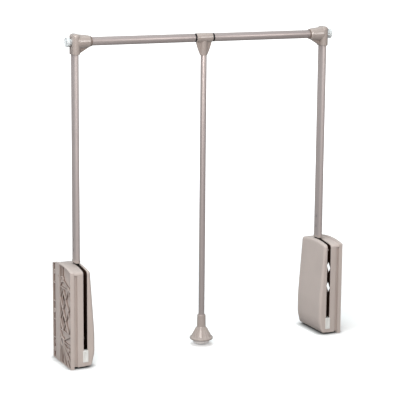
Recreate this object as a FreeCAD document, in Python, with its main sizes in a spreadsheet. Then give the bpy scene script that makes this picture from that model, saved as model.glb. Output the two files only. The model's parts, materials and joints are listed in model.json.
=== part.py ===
"""Pull-down wardrobe rod, in millimetres.

Frame: the origin is on the floor line midway between the two housings, +X runs to the right
wall, +Y to the back of the wardrobe, +Z up. The left pieces are modelled, and the right ones
are their mirror images in the plane X = 0. Distances "from the wall" run inwards from the
wall face of a housing.
"""

import FreeCAD, Part
import math
import os
import Sketcher

# Driving dimensions: name, value, what it measures.
DIMENSIONS = [
    ("width", 800, "between the two wall faces, at the narrowest setting"),
    ("rod_height", 830, "hanging rod's axis above the housings' feet"),
    ("arm_inset", 41, "arm and slot centre from the wall"),
    ("running_gap", 0.05, "radial gap of a shaft that turns or slides in its hole"),
    ("seat_gap", 0.05, "gap of a piece that is seated and stays put"),
    ("free_gap", 0.4, "gap between pieces that pass each other"),
    # housing shells
    ("housing_depth", 130, "front to back over the wall flange"),
    ("corner_height", 254, "housing's height at its front and back corners"),
    ("crown_height", 262, "housing's height at the middle of its arched top"),
    ("flange_thick", 10, "wall flange, from the wall"),
    ("flange_rim", 2.5, "thickness of the rim round the lattice"),
    ("body_inset", 1.5, "body behind the flange's front and back edges"),
    ("body_foot", 5, "body above the flange's foot"),
    ("groove_wide", 9.5, "groove beside the flange on the front face"),
    ("groove_deep", 4.5, "the same groove's depth"),
    ("roof_thick", 9, "roof above the end of the groove"),
    ("shell_wall", 2.5, "wall of both shells"),
    ("flange_corner", 3, "rounding of the wall flange's top corners"),
    ("corner_round", 10, "rounding of the body's top corners"),
    ("cover_belly", 67.2, "cover's face from the wall, where it is fullest"),
    ("belly_high", 80, "height where the cover's face starts to lean"),
    ("cover_bend", 300, "radius of the bend there"),
    ("cover_lean", 4.1, "lean of the face above it, in degrees"),
    ("belly_low", 48, "height where the cover's bottom rounding starts"),
    ("cover_heel", 56, "cover's bottom edge from the wall"),
    ("cover_round", 7, "rounding of the cover's front, back and top edges"),
    ("slot_wide", 11, "slot that the lever swings in"),
    ("slot_foot", 15.5, "height of the slot's lower end"),
    ("bumper_deep", 15, "stop bumper, front to back"),
    ("bumper_flange", 4, "its flange beyond the slot's sides"),
    # lattice on the wall side
    ("lattice_deep", 6, "depth of the cells"),
    ("rib_thick", 1.8, "thickness of a rib"),
    ("rib_sink", 0.5, "ribs below the wall face"),
    ("web_thick", 2.5, "web between the cells and the inside"),
    ("band_front", 14, "front edge of the upright band, behind the middle"),
    ("band_back", 44, "back edge of the upright band, behind the middle"),
    ("column_pitch", 49, "pitch of the short ribs behind the band"),
    ("column_start", 55, "height of the lowest of them"),
    ("column_count", 4, "how many there are"),
    ("cross_pitch", 57, "height of one cell between the diagonal ribs"),
    ("cross_start", 88.5, "height of the lowest cells' lower ends"),
    ("cross_count", 2, "rows of cells"),
    ("fan_pitch", 26, "pitch of the fan ribs' ends on the rim"),
    ("fan_start", 8, "height of the lowest fan rib's end"),
    ("fan_front_count", 3, "fan ribs that end on the front rim"),
    ("fan_foot_count", 3, "fan ribs that end on the foot rim"),
    ("window_tall", 36, "see-through window in the web"),
    ("window_wide", 24, "the same window's width"),
    ("eye_outer", 8.5, "radius of the lattice's round eye"),
    ("eye_hole", 5, "radius of the hole in it"),
    ("eye_drop", 38, "eye below the crown"),
    ("eye_forward", 2, "eye in front of the housing's middle"),
    # fasteners of the housing
    ("wall_screw_hole", 2.75, "radius of the holes for the wall screws"),
    ("wall_screw_boss", 5.5, "radius of their bosses"),
    ("wall_screw_out", 44, "the holes from the housing's middle, forwards and back"),
    ("wall_screw_low", 46, "height of the lower holes"),
    ("wall_screw_rise", 160, "upper holes above the lower ones"),
    ("shell_screw", 2, "radius of the screws between the shells"),
    ("shell_screw_head", 3.6, "radius of their heads"),
    ("shell_screw_cap", 3, "height of their heads"),
    ("shell_screw_grip", 12, "how far they reach into the cover"),
    ("shell_post", 4.5, "radius of the posts that they run in"),
    ("shell_well", 6, "radius of the wells that their heads sit in"),
    ("back_screw_out", 53, "back screws behind the middle"),
    ("back_screw_low", 24, "height of the lowest back screw"),
    ("back_screw_pitch", 104, "pitch of the back screws"),
    ("back_screw_count", 3, "how many back screws there are"),
    ("front_screw_out", 38, "front screw in front of the middle"),
    # pivot and lever
    ("pivot_height", 59, "pivot axle above the foot"),
    ("axle_radius", 5, "pivot axle"),
    ("axle_head", 8, "radius of its head"),
    ("axle_head_thick", 3, "thickness of its head"),
    ("axle_back", 5.2, "axle's end behind the cover's face"),
    ("pivot_boss", 8.5, "radius of the bosses inside the housing"),
    ("pivot_hub", 12, "radius of the boss in the lattice"),
    ("swing_half", 45, "half of the arms' swing, in degrees"),
    ("lever_thick", 8, "thickness of the lever"),
    ("lever_wide", 24, "width of the lever in the slot"),
    ("lever_hub", 16, "radius of the lever about the pivot"),
    ("tongue_wide", 20, "width of its tongue in the arm tube"),
    ("tongue_length", 76, "how far the tongue reaches into the tube"),
    ("bush_radius", 8, "outer radius of the hub bushes"),
    ("bush_flange", 11, "radius of their flanges"),
    ("bush_side", 4.5, "thickness of their flanges"),
    ("crank_radius", 26, "crank pin from the pivot"),
    ("crank_end", 8, "radius of the lever about the crank pin"),
    ("crank_pin_radius", 4, "crank pin"),
    ("crank_shoulder", 6, "radius of its shoulder"),
    # gas spring
    ("spring_room", 1, "room between the gas spring and the web"),
    ("spring_radius", 9, "outer radius of its cylinder"),
    ("spring_wall", 1.2, "wall of its cylinder"),
    ("spring_lift", 35, "cylinder's lower end above the pivot"),
    ("spring_neck", 14, "cylinder's upper end below the anchor pin"),
    ("spring_end", 6, "thickness of the cylinder's ends"),
    ("spring_eye", 7, "radius of the cylinder's eye"),
    ("spring_eye_thick", 8, "thickness of the eye"),
    ("anchor_drop", 34, "anchor pin below the crown"),
    ("anchor_radius", 3, "anchor pin"),
    ("anchor_head", 4.5, "radius of its head"),
    ("anchor_head_thick", 2, "thickness of its head"),
    ("piston_rod", 4, "radius of the piston rod"),
    ("piston_thick", 8, "thickness of the piston"),
    ("piston_lift", 18, "piston's top above the cylinder's lower end, arms up"),
    ("yoke_thick", 6, "thickness of the rod's slotted eye"),
    ("yoke_rim", 3, "metal round its slot"),
    ("yoke_play", 1.2, "room round the crank pin in the slot"),
    # arm
    ("tube_wide", 13, "arm tube's size across"),
    ("tube_deep", 31, "arm tube's size front to back"),
    ("tube_wall", 1.2, "wall of the arm tube"),
    ("foot_lift", 2, "arm foot above the housing's crown"),
    ("foot_collar", 6, "height of the arm foot's collar"),
    ("foot_wall", 0.8, "wall of the collar"),
    ("foot_floor", 2, "collar's floor under the tube"),
    ("rivet_radius", 2.5, "arm rivets"),
    ("rivet_low", 30, "lower rivet above the tube's end"),
    ("rivet_pitch", 28, "pitch of the rivets"),
    # elbow and side bumper
    ("elbow_wall", 3.5, "elbow's wall round the arm tube"),
    ("elbow_above", 20.5, "elbow's top above the rod's axis"),
    ("elbow_below", 31.5, "elbow's mouth below the rod's axis"),
    ("elbow_round", 8, "rounding of the elbow's top"),
    ("tube_end_below", 14.5, "arm tube's top below the rod's axis"),
    ("cone_root", 18.9, "radius of the elbow's cone at the arm"),
    ("cone_tip", 15.4, "radius of the cone before its bevel"),
    ("cone_mouth", 12.4, "radius of its end face"),
    ("cone_long", 37, "cone's bevel from the arm's axis"),
    ("cone_bevel", 4, "length of the bevel"),
    ("gusset_thick", 8, "web under the cone"),
    ("gusset_low", 0.5, "web's lower end above the elbow's mouth"),
    ("gusset_rise", 16, "web's rise from the arm to the cone's end"),
    ("rod_seat", 9.5, "start of the rod's bore from the arm's axis"),
    ("bumper_radius", 13, "side bumper's disc"),
    ("bumper_disc", 8, "thickness of the disc"),
    ("bumper_neck_radius", 7.5, "radius of its neck"),
    ("bumper_neck", 6, "length of its neck"),
    ("bumper_stem_radius", 4, "radius of its stem"),
    ("bumper_stem", 5, "length of its stem"),
    ("bumper_round", 2.5, "rounding of the disc"),
    # hanging rod
    ("rod_radius", 11, "outer tubes of the hanging rod"),
    ("rod_wall", 1.2, "their wall"),
    ("core_radius", 9.5, "inner tube"),
    ("core_wall", 1.2, "its wall"),
    ("core_half", 260, "half of the inner tube's length"),
    ("ring_radius", 13.2, "black ring at the cone"),
    ("ring_thick", 2.5, "its thickness"),
    ("rod_bush_long", 20, "rod bush inside the tube"),
    ("rod_bush_flange", 2.6, "its flange outside the tube"),
    ("tee_ring_thick", 1.5, "rings beside the tee"),
    ("tee_ring_radius", 10.8, "their outer radius"),
    # tee, pull rod and knob
    ("tee_half", 23, "half of the tee's sleeve"),
    ("tee_radius", 12.1, "outer radius of the sleeve"),
    ("tee_below", 46, "tee's mouth below the rod's axis"),
    ("tee_socket", 9.4, "outer radius of the socket"),
    ("tee_web", 5, "thickness of the tee's webs"),
    ("tee_web_drop", 8, "webs' outer ends below the axis"),
    ("tee_web_bulge", 1.5, "swelling of the webs' edges"),
    ("pull_top", 18.5, "pull rod's top below the rod's axis"),
    ("pull_radius", 8, "pull rod"),
    ("pull_wall", 1.2, "its wall"),
    ("tee_screw_radius", 2, "screw that holds the pull rod"),
    ("tee_screw_long", 8, "its length"),
    ("tee_screw_below", 36, "its height below the rod's axis"),
    ("knob_top", 83, "height of the knob's collar"),
    ("knob_neck", 49, "height where the knob flares"),
    ("knob_shoulder", 13.2, "radius of the ribbed skirt at its top"),
    ("knob_step", 1, "skirt's top below the collar's foot"),
    ("knob_brim_high", 23.5, "height where the skirt meets the brim"),
    ("knob_brim_edge", 2.4, "radius of the brim's rounded edge"),
    ("knob_brim_mid", 18.5, "height of that edge's middle"),
    ("knob_under", 26, "radius of the brim's lower face"),
    ("knob_low", 15.5, "height of the brim's lower face"),
    ("knob_collar", 11.3, "radius of the collar at its top"),
    ("knob_waist", 12.2, "radius of the collar at its foot"),
    ("knob_skirt", 26.3, "radius of the ribbed skirt at the brim"),
    ("knob_brim", 31.6, "radius of the brim"),
    ("knob_bore_low", 34, "height of the pull rod's lower end"),
    ("knob_rib_count", 16, "ribs round the skirt"),
    ("knob_rib_thick", 2.6, "thickness of a rib"),
    ("knob_rib_out", 1.2, "how far the ribs stand out"),
    ("pad_radius", 22.5, "pad under the knob"),
    ("pad_low", 5.4, "height of the pad's underside"),
    ("pad_round", 6, "rounding of the pad's edge"),
    ("pad_spigot", 8, "radius of the pad's spigot in the knob"),
    ("pad_spigot_high", 9, "length of the spigot"),
]

OVERSHOOT = 5  # a cut runs this far past the face that it breaks through


class Size:
    """A length that carries its number and the sheet expression that gives it."""

    def __init__(self, value, text):
        self.value = value
        self.text = text

    def __add__(self, other):
        other = as_size(other)
        return Size(self.value + other.value, f"({self.text} + {other.text})")

    def __sub__(self, other):
        other = as_size(other)
        return Size(self.value - other.value, f"({self.text} - {other.text})")

    def __mul__(self, other):
        other = as_size(other)
        return Size(self.value * other.value, f"({self.text} * {other.text})")

    def __truediv__(self, other):
        other = as_size(other)
        return Size(self.value / other.value, f"({self.text} / {other.text})")

    def __neg__(self):
        return Size(-self.value, f"(0 - {self.text})")

    def __rsub__(self, other):
        return as_size(other) - self

    __radd__ = __add__
    __rmul__ = __mul__


def as_size(number):
    """A plain number as a Size."""
    if isinstance(number, Size):
        return number
    return Size(float(number), f"({float(number)})")


def root(size):
    """Square root of a Size."""
    return Size(math.sqrt(size.value), f"sqrt({size.text})")


def cosine(size):
    """Cosine of an angle in degrees."""
    return Size(math.cos(math.radians(size.value)), f"cos({size.text})")


def sine(size):
    """Sine of an angle in degrees."""
    return Size(math.sin(math.radians(size.value)), f"sin({size.text})")


class Sizes:
    """The sheet's cells as attributes."""


doc = FreeCAD.newDocument("pull_down_rod")
sheet = doc.addObject("Spreadsheet::Sheet", "Sizes")
S = Sizes()
for row, (alias, number, meaning) in enumerate(DIMENSIONS, start=1):
    sheet.set(f"A{row}", alias)
    sheet.set(f"B{row}", str(number))
    sheet.set(f"C{row}", meaning)
    sheet.setAlias(f"B{row}", alias)
doc.recompute()
for alias, _, _ in DIMENSIONS:
    setattr(S, alias, Size(float(sheet.get(alias)), f"Sizes.{alias}"))


# ---------------------------------------------------------------- sketches and bodies

class Outline:
    """A closed outline. A corner is (x, y), reached by a straight edge, or
    (x, y, cx, cy, turn), reached by an arc about (cx, cy) that turns left (1) or right (-1)."""

    def __init__(self, *corners):
        self.corners = corners

    def draw(self, sketch):
        first = sketch.GeometryCount
        count = len(self.corners)
        starts = []
        for i, corner in enumerate(self.corners):
            a = to_vector(self.corners[i - 1])
            b = to_vector(corner)
            starts.append(1 if len(corner) == 2 or corner[4] > 0 else 2)
            sketch.addGeometry(line_or_arc(a, b, corner), False)
        for i, corner in enumerate(self.corners):
            edge = first + i
            following = (i + 1) % count
            end = 3 - starts[i]
            joint = Sketcher.Constraint("Coincident", edge, end, first + following, starts[following])
            sketch.addConstraint(joint)
            fix_point(sketch, edge, end, corner[0], corner[1])
            if len(corner) > 2:
                a = to_vector(self.corners[i - 1])
                b = to_vector(corner)
                if abs(b.x - a.x) > abs(b.y - a.y):
                    fix_coordinate(sketch, "DistanceY", edge, 3, corner[3])
                else:
                    fix_coordinate(sketch, "DistanceX", edge, 3, corner[2])


class Ring:
    """A circle."""

    def __init__(self, x, y, radius):
        self.x = as_size(x)
        self.y = as_size(y)
        self.radius = as_size(radius)

    def draw(self, sketch):
        centre = FreeCAD.Vector(self.x.value, self.y.value, 0)
        circle = Part.Circle(centre, FreeCAD.Vector(0, 0, 1), self.radius.value)
        edge = sketch.addGeometry(circle, False)
        fix_point(sketch, edge, 3, self.x, self.y)
        index = sketch.addConstraint(Sketcher.Constraint("Radius", edge, self.radius.value))
        sketch.setExpression(f"Constraints[{index}]", self.radius.text)


def to_vector(corner):
    """Where a corner lies in its sketch."""
    return FreeCAD.Vector(as_size(corner[0]).value, as_size(corner[1]).value, 0)


def line_or_arc(a, b, corner):
    """The edge that reaches a corner."""
    if len(corner) == 2:
        return Part.LineSegment(a, b)
    centre = FreeCAD.Vector(as_size(corner[2]).value, as_size(corner[3]).value, 0)
    if corner[4] < 0:
        a, b = b, a
    circle = Part.Circle(centre, FreeCAD.Vector(0, 0, 1), (a - centre).Length)
    start = math.atan2(a.y - centre.y, a.x - centre.x)
    end = math.atan2(b.y - centre.y, b.x - centre.x)
    return Part.ArcOfCircle(circle, start, end)


def fix_coordinate(sketch, kind, edge, point, size):
    """Hold one coordinate of a point at a size."""
    size = as_size(size)
    constraint = Sketcher.Constraint(kind, -1, 1, edge, point, size.value)
    index = sketch.addConstraint(constraint)
    sketch.setExpression(f"Constraints[{index}]", size.text)


def fix_point(sketch, edge, point, x, y):
    """Hold both coordinates of a point."""
    fix_coordinate(sketch, "DistanceX", edge, point, x)
    fix_coordinate(sketch, "DistanceY", edge, point, y)


# For each plane: the sign of its normal along the world axis that it faces.
PLANES = {"YZ_Plane": 1, "XZ_Plane": -1, "XY_Plane": 1}


class Piece:
    """A body to which pads and cuts are added. Each runs from a world coordinate, start,
    in the positive direction of the axis that its plane faces."""

    def __init__(self, label):
        self.body = doc.addObject("PartDesign::Body", label)
        self.body.Label = label
        self.label = label
        self.steps = 0

    def sketch(self, plane, place, shapes):
        self.steps += 1
        sketch = self.body.newObject("Sketcher::SketchObject", f"{self.label}_sketch{self.steps}")
        origin = self.body.Origin.OriginFeatures
        face = next(feature for feature in origin if feature.Role == plane)
        sketch.AttachmentSupport = [(face, "")]
        sketch.MapMode = "FlatFace"
        offset = as_size(place) * PLANES[plane]
        sketch.setExpression("AttachmentOffset.Base.z", offset.text)
        for shape in shapes:
            shape.draw(sketch)
        return sketch

    def pad(self, plane, start, length, *shapes):
        sketch = self.sketch(plane, start, shapes)
        pad = self.body.newObject("PartDesign::Pad", f"{self.label}_pad{self.steps}")
        pad.Profile = sketch
        pad.Reversed = PLANES[plane] < 0
        pad.setExpression("Length", as_size(length).text)
        return pad

    def cut(self, plane, start, length, *shapes):
        sketch = self.sketch(plane, start, shapes)
        cut = self.body.newObject("PartDesign::Pocket", f"{self.label}_cut{self.steps}")
        cut.Profile = sketch
        cut.Reversed = PLANES[plane] > 0
        cut.setExpression("Length", as_size(length).text)
        return cut

    def turn(self, plane, place, axis, outline):
        """Revolve an outline about the line between two points of its sketch."""
        sketch = self.sketch(plane, place, [outline])
        a, b = axis
        line = sketch.addGeometry(Part.LineSegment(to_vector(a), to_vector(b)), True)
        fix_point(sketch, line, 1, a[0], a[1])
        fix_point(sketch, line, 2, b[0], b[1])
        turned = self.body.newObject("PartDesign::Revolution", f"{self.label}_turn{self.steps}")
        turned.Profile = sketch
        turned.ReferenceAxis = (sketch, ["Axis0"])
        turned.Angle = 360
        return turned

    def fillet(self, radius, wanted):
        """Round the edges whose middle point passes the test wanted."""
        doc.recompute()
        tip = self.body.Tip
        names = []
        for number, edge in enumerate(tip.Shape.Edges, start=1):
            middle = edge.valueAt((edge.FirstParameter + edge.LastParameter) / 2)
            if wanted(edge, middle):
                names.append(f"Edge{number}")
        fillet = self.body.newObject("PartDesign::Fillet", f"{self.label}_fillet{self.steps}")
        fillet.Base = (tip, names)
        fillet.setExpression("Radius", as_size(radius).text)
        return fillet


def cut_away(label, whole, removed):
    """One piece less another."""
    result = doc.addObject("Part::Cut", label)
    result.Label = label
    result.Base = whole
    result.Tool = removed
    return result


def mirrored(label, source):
    """The right-hand copy of a left piece."""
    copy = doc.addObject("Part::Mirroring", label)
    copy.Label = label
    copy.Source = source
    copy.Normal = (1, 0, 0)
    return copy


def box_outline(x0, y0, x1, y1):
    """A rectangle between two opposite corners."""
    return Outline((x0, y0), (x1, y0), (x1, y1), (x0, y1))


def oval(x, y, wide, deep):
    """A flat oval: straight sides along y, with half circles at both ends."""
    r = wide / 2
    y0 = y - (deep / 2 - r)
    y1 = y + (deep / 2 - r)
    return Outline((x + r, y0, x, y0, 1), (x + r, y1), (x - r, y1, x, y1, 1), (x - r, y0))


def steps(start, pitch, count):
    """Evenly spaced places."""
    return [start + pitch * k for k in range(round(count.value))]


def distance(x0, y0, x1, y1):
    """How far apart two points are."""
    return root((x1 - x0) * (x1 - x0) + (y1 - y0) * (y1 - y0))


def swelling(x0, y0, x1, y1, bulge):
    """The corner at (x1, y1), reached from (x0, y0) by an arc that swells by bulge."""
    chord = distance(x0, y0, x1, y1)
    inwards = (chord * chord / (bulge * 4) - bulge) / 2
    cx = (x0 + x1) / 2 + (y0 - y1) / chord * inwards
    cy = (y0 + y1) / 2 + (x1 - x0) / chord * inwards
    return (x1, y1, cx, cy, 1)


def spoke(x0, y0, x1, y1, hub, thick):
    """A strip towards (x1, y1) that starts just inside a hub about (x0, y0)."""
    inside = (hub - thick) / distance(x0, y0, x1, y1)
    return bar(x0 + (x1 - x0) * inside, y0 + (y1 - y0) * inside, x1, y1, thick)


def bar(x0, y0, x1, y1, thick):
    """A straight strip of a given thickness along a line."""
    long = distance(x0, y0, x1, y1)
    nx = (y0 - y1) / long * (thick / 2)
    ny = (x1 - x0) / long * (thick / 2)
    return Outline((x0 - nx, y0 - ny), (x1 - nx, y1 - ny), (x1 + nx, y1 + ny), (x0 + nx, y0 + ny))


# ---------------------------------------------------------------- shared places

ZERO = as_size(0)
half_width = S.width / 2
half_depth = S.housing_depth / 2
arm_y = ZERO  # the arms, pivots and rod lie in the housings' middle plane
tee_x = ZERO  # the tee hangs in the plane X = 0
arm_x = S.arm_inset - half_width
rod_z = S.rod_height
web_in = S.lattice_deep + S.web_thick
spring_inset = web_in + S.spring_room + S.spring_radius
slot_near = S.arm_inset - S.slot_wide / 2
slot_back = arm_y + S.lever_wide / 2 + S.free_gap
lever_near = S.arm_inset - S.lever_thick / 2
crank_back = S.crank_radius * cosine(S.swing_half)
crank_drop = S.crank_radius * sine(S.swing_half)
crank_y = arm_y + crank_back
crank_z = S.pivot_height - crank_drop
yoke_y = arm_y + (crank_back + S.crank_radius) / 2
arch_rise = S.crown_height - S.corner_height
arch_radius = (half_depth * half_depth + arch_rise * arch_rise) / (arch_rise * 2)
foot_z = S.crown_height + S.foot_lift
eye_z = S.crown_height - S.eye_drop
anchor_z = S.crown_height - S.anchor_drop
spring_top = anchor_z - S.spring_neck
spring_foot = S.pivot_height + S.spring_lift
stop_top = S.pivot_height - S.lever_wide / 2 - S.free_gap
axle_end = S.cover_belly - S.axle_back
tube_z = foot_z + S.foot_floor
tongue_z = tube_z + S.tongue_length
rivet_heights = [tube_z + S.rivet_low, tube_z + S.rivet_low + S.rivet_pitch]
column_heights = steps(S.column_start, S.column_pitch, S.column_count)
screw_heights = steps(S.back_screw_low, S.back_screw_pitch, S.back_screw_count)
rim_y = half_depth - S.flange_rim / 2


def from_wall(distance):
    """X of a plane at a distance from the left wall."""
    return as_size(distance) - half_width


def places(outs, heights):
    """Every pairing of places across and heights."""
    return [(y, z) for y in outs for z in heights]


wall_screws = places(
    [-S.wall_screw_out, S.wall_screw_out],
    [S.wall_screw_low, S.wall_screw_low + S.wall_screw_rise],
)
shell_screws = places([S.back_screw_out], screw_heights)
shell_screws.append((-S.front_screw_out, S.back_screw_low))


def rings(spots, radius):
    """A circle of one radius at each spot."""
    return [Ring(y, z, radius) for y, z in spots]


def housing_outline(inset, foot, rounding):
    """The housing's side view, drawn in by an inset: straight front, back and foot under an
    arched top with rounded corners."""
    half = half_depth - inset
    middle = S.crown_height - arch_radius
    arch = arch_radius - inset
    corner = rounding - inset
    across = half - corner
    upright = middle + root((arch - corner) * (arch - corner) - across * across)
    reach = arch / (arch - corner)
    touch_y = across * reach
    touch_z = middle + (upright - middle) * reach
    return Outline(
        (-half, foot),
        (half, foot),
        (half, upright),
        (touch_y, touch_z, across, upright, 1),
        (-touch_y, touch_z, ZERO, middle, 1),
        (-half, upright, -across, upright, 1),
    )


def body_outline(inset):
    """The body's side view, behind the flange's edges, drawn in by a further inset."""
    return housing_outline(S.body_inset + inset, S.body_foot + inset, S.corner_round)


# ---------------------------------------------------------------- housing

def make_base_shell():
    """Outer half of the housing, with the ribbed lattice towards the wall."""
    shell = Piece("left_base_solid")
    flange = housing_outline(ZERO, ZERO, S.flange_corner)
    shell.pad("YZ_Plane", from_wall(0), S.flange_thick, flange)
    body_long = S.arm_inset - S.flange_thick
    shell.pad("YZ_Plane", from_wall(S.flange_thick), body_long, body_outline(ZERO))
    groove = box_outline(
        -half_depth - OVERSHOOT,
        -as_size(OVERSHOOT),
        S.body_inset + S.groove_deep - half_depth,
        S.corner_height - S.roof_thick,
    )
    shell.cut("YZ_Plane", from_wall(S.flange_thick), S.groove_wide, groove)
    slot = box_outline(-half_depth - OVERSHOOT, S.slot_foot, slot_back, S.crown_height + OVERSHOOT)

    # cells, and the inside, which is open towards the cover
    cells = housing_outline(S.flange_rim, S.flange_rim, S.flange_corner)
    shell.cut("YZ_Plane", from_wall(-OVERSHOOT), S.lattice_deep + OVERSHOOT, cells)
    narrow_room = body_outline(S.groove_deep + S.shell_wall)
    shell.cut("YZ_Plane", from_wall(web_in), S.arm_inset - web_in + OVERSHOOT, narrow_room)
    past_groove = S.flange_thick + S.groove_wide + S.shell_wall
    room = body_outline(S.shell_wall)
    shell.cut("YZ_Plane", from_wall(past_groove), S.arm_inset - past_groove + OVERSHOOT, room)
    shell.cut("YZ_Plane", from_wall(slot_near), S.slot_wide, slot)

    # lattice
    add_lattice(shell)

    # posts and bosses inside
    posts = rings(shell_screws, S.shell_post)
    shell.pad("YZ_Plane", from_wall(S.lattice_deep), S.arm_inset - S.lattice_deep, *posts)
    boss_end = lever_near - S.bush_side - S.free_gap
    pivot_boss = Ring(arm_y, S.pivot_height, S.pivot_boss)
    shell.pad("YZ_Plane", from_wall(S.lattice_deep), boss_end - S.lattice_deep, pivot_boss)
    anchor_boss = Ring(yoke_y, anchor_z, S.spring_eye)
    anchor_boss_end = spring_inset - S.spring_eye_thick / 2 - S.free_gap
    shell.pad("YZ_Plane", from_wall(S.lattice_deep), anchor_boss_end - S.lattice_deep, anchor_boss)

    # holes
    past = S.arm_inset + OVERSHOOT
    wall_holes = rings(wall_screws, S.wall_screw_hole)
    shell.cut("YZ_Plane", from_wall(-OVERSHOOT), past, *wall_holes)
    screw_holes = rings(shell_screws, S.shell_screw + S.seat_gap)
    shell.cut("YZ_Plane", from_wall(-OVERSHOOT), past + OVERSHOOT, *screw_holes)
    wells = rings(shell_screws, S.shell_screw_head + S.seat_gap)
    shell.cut("YZ_Plane", from_wall(-OVERSHOOT), S.lattice_deep + OVERSHOOT, *wells)
    axle_hole = Ring(arm_y, S.pivot_height, S.axle_radius + S.running_gap)
    shell.cut("YZ_Plane", from_wall(-OVERSHOOT), past, axle_hole)
    head_room = Ring(arm_y, S.pivot_height, S.axle_head + S.seat_gap)
    shell.cut("YZ_Plane", from_wall(-OVERSHOOT), S.lattice_deep + OVERSHOOT, head_room)
    anchor_hole = Ring(yoke_y, anchor_z, S.anchor_radius + S.seat_gap)
    shell.cut("YZ_Plane", from_wall(-OVERSHOOT), past, anchor_hole)
    eye_hole = Ring(-S.eye_forward, eye_z, S.eye_hole)
    shell.cut("YZ_Plane", from_wall(-OVERSHOOT), web_in + OVERSHOOT * 2, eye_hole)
    for row in range(round(S.cross_count.value)):
        y, z = cell_node(3, row * 2 + 1)
        window = Outline(
            (y, z - S.window_tall / 2),
            (y + S.window_wide / 2, z),
            (y, z + S.window_tall / 2),
            (y - S.window_wide / 2, z),
        )
        shell.cut("YZ_Plane", from_wall(S.lattice_deep - OVERSHOOT), S.web_thick + OVERSHOOT * 2, window)
    shell.body.Label = "left_base_shell"
    return shell.body


def cell_node(column, row):
    """A node of the diagonal ribs: quarters of the field's width, halves of a cell's height."""
    y = (S.band_front + S.rib_thick / 2 + rim_y) * (column / 4) - rim_y
    return y, S.cross_start + S.cross_pitch * (row / 2)


def add_lattice(shell):
    """Ribs on the wall side: a band, short ribs behind it, crossing diagonals and a fan."""
    deep = S.lattice_deep
    high = deep - S.rib_sink
    t = S.rib_thick
    middle = S.crown_height - arch_radius

    def under_arch(y):
        return middle + root(arch_radius * arch_radius - y * y) - S.flange_rim / 2

    front_band = S.band_front + t / 2
    band = Outline(
        (S.band_front, S.flange_rim / 2),
        (S.band_back, S.flange_rim / 2),
        (S.band_back, under_arch(S.band_back)),
        (S.band_front, under_arch(S.band_front)),
    )
    shell.pad("YZ_Plane", from_wall(0), deep, band)
    column = [bar(S.band_back - t, z, rim_y, z, t) for z in column_heights]
    shell.pad("YZ_Plane", from_wall(S.rib_sink), high, *column)

    # diagonals across the field, from edge to edge, between two level ribs
    top_row = round(S.cross_count.value) * 2
    for flip in (False, True):
        diagonals = []
        for column, row in [(3, 0), (1, 0)] + [(0, k) for k in range(1, top_row, 2)]:
            run = min(4 - column, top_row - row)
            start, end = column, column + run
            if flip:
                start, end = 4 - start, 4 - end
            y0, z0 = cell_node(start, row)
            y1, z1 = cell_node(end, row + run)
            diagonals.append(bar(y0, z0, y1, z1, t))
        shell.pad("YZ_Plane", from_wall(S.rib_sink), high, *diagonals)
    levels = []
    for row in (0, top_row):
        y0, z = cell_node(0, row)
        levels.append(bar(y0, z, front_band, z, t))
    shell.pad("YZ_Plane", from_wall(S.rib_sink), high, *levels)

    # the eye under the top, with a rib to each upper corner of the field
    eye_y = -S.eye_forward
    shell.pad("YZ_Plane", from_wall(S.rib_sink), high, Ring(eye_y, eye_z, S.eye_outer))
    last = cell_node(0, top_row)[1]
    ends = [(-rim_y, last), (front_band, last), (eye_y, under_arch(eye_y))]
    spokes = [spoke(eye_y, eye_z, y, z, S.eye_outer, t) for y, z in ends]
    shell.pad("YZ_Plane", from_wall(S.rib_sink), high, *spokes)

    # fan about the pivot
    shell.pad("YZ_Plane", from_wall(0), deep, Ring(arm_y, S.pivot_height, S.pivot_hub))
    foot = S.flange_rim / 2
    foot_start = S.fan_pitch - S.fan_start - rim_y
    ends = [(-rim_y, z) for z in steps(S.fan_start, S.fan_pitch, S.fan_front_count)]
    ends += [(y, foot) for y in steps(foot_start, S.fan_pitch, S.fan_foot_count)]
    ends += [(front_band, S.pivot_height + S.fan_pitch), (front_band, S.pivot_height)]
    ends += [(front_band, S.pivot_height - S.fan_pitch), (-rim_y, S.cross_start)]
    spokes = [spoke(arm_y, S.pivot_height, y, z, S.pivot_hub, t) for y, z in ends]
    shell.pad("YZ_Plane", from_wall(S.rib_sink), high, *spokes)

    shell.pad("YZ_Plane", from_wall(0), deep, *rings(wall_screws, S.wall_screw_boss))
    shell.pad("YZ_Plane", from_wall(S.rib_sink), high, *rings(shell_screws, S.shell_well))
    anchor = Ring(yoke_y, anchor_z, S.spring_eye)
    shell.pad("YZ_Plane", from_wall(S.rib_sink), high, anchor)


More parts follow.
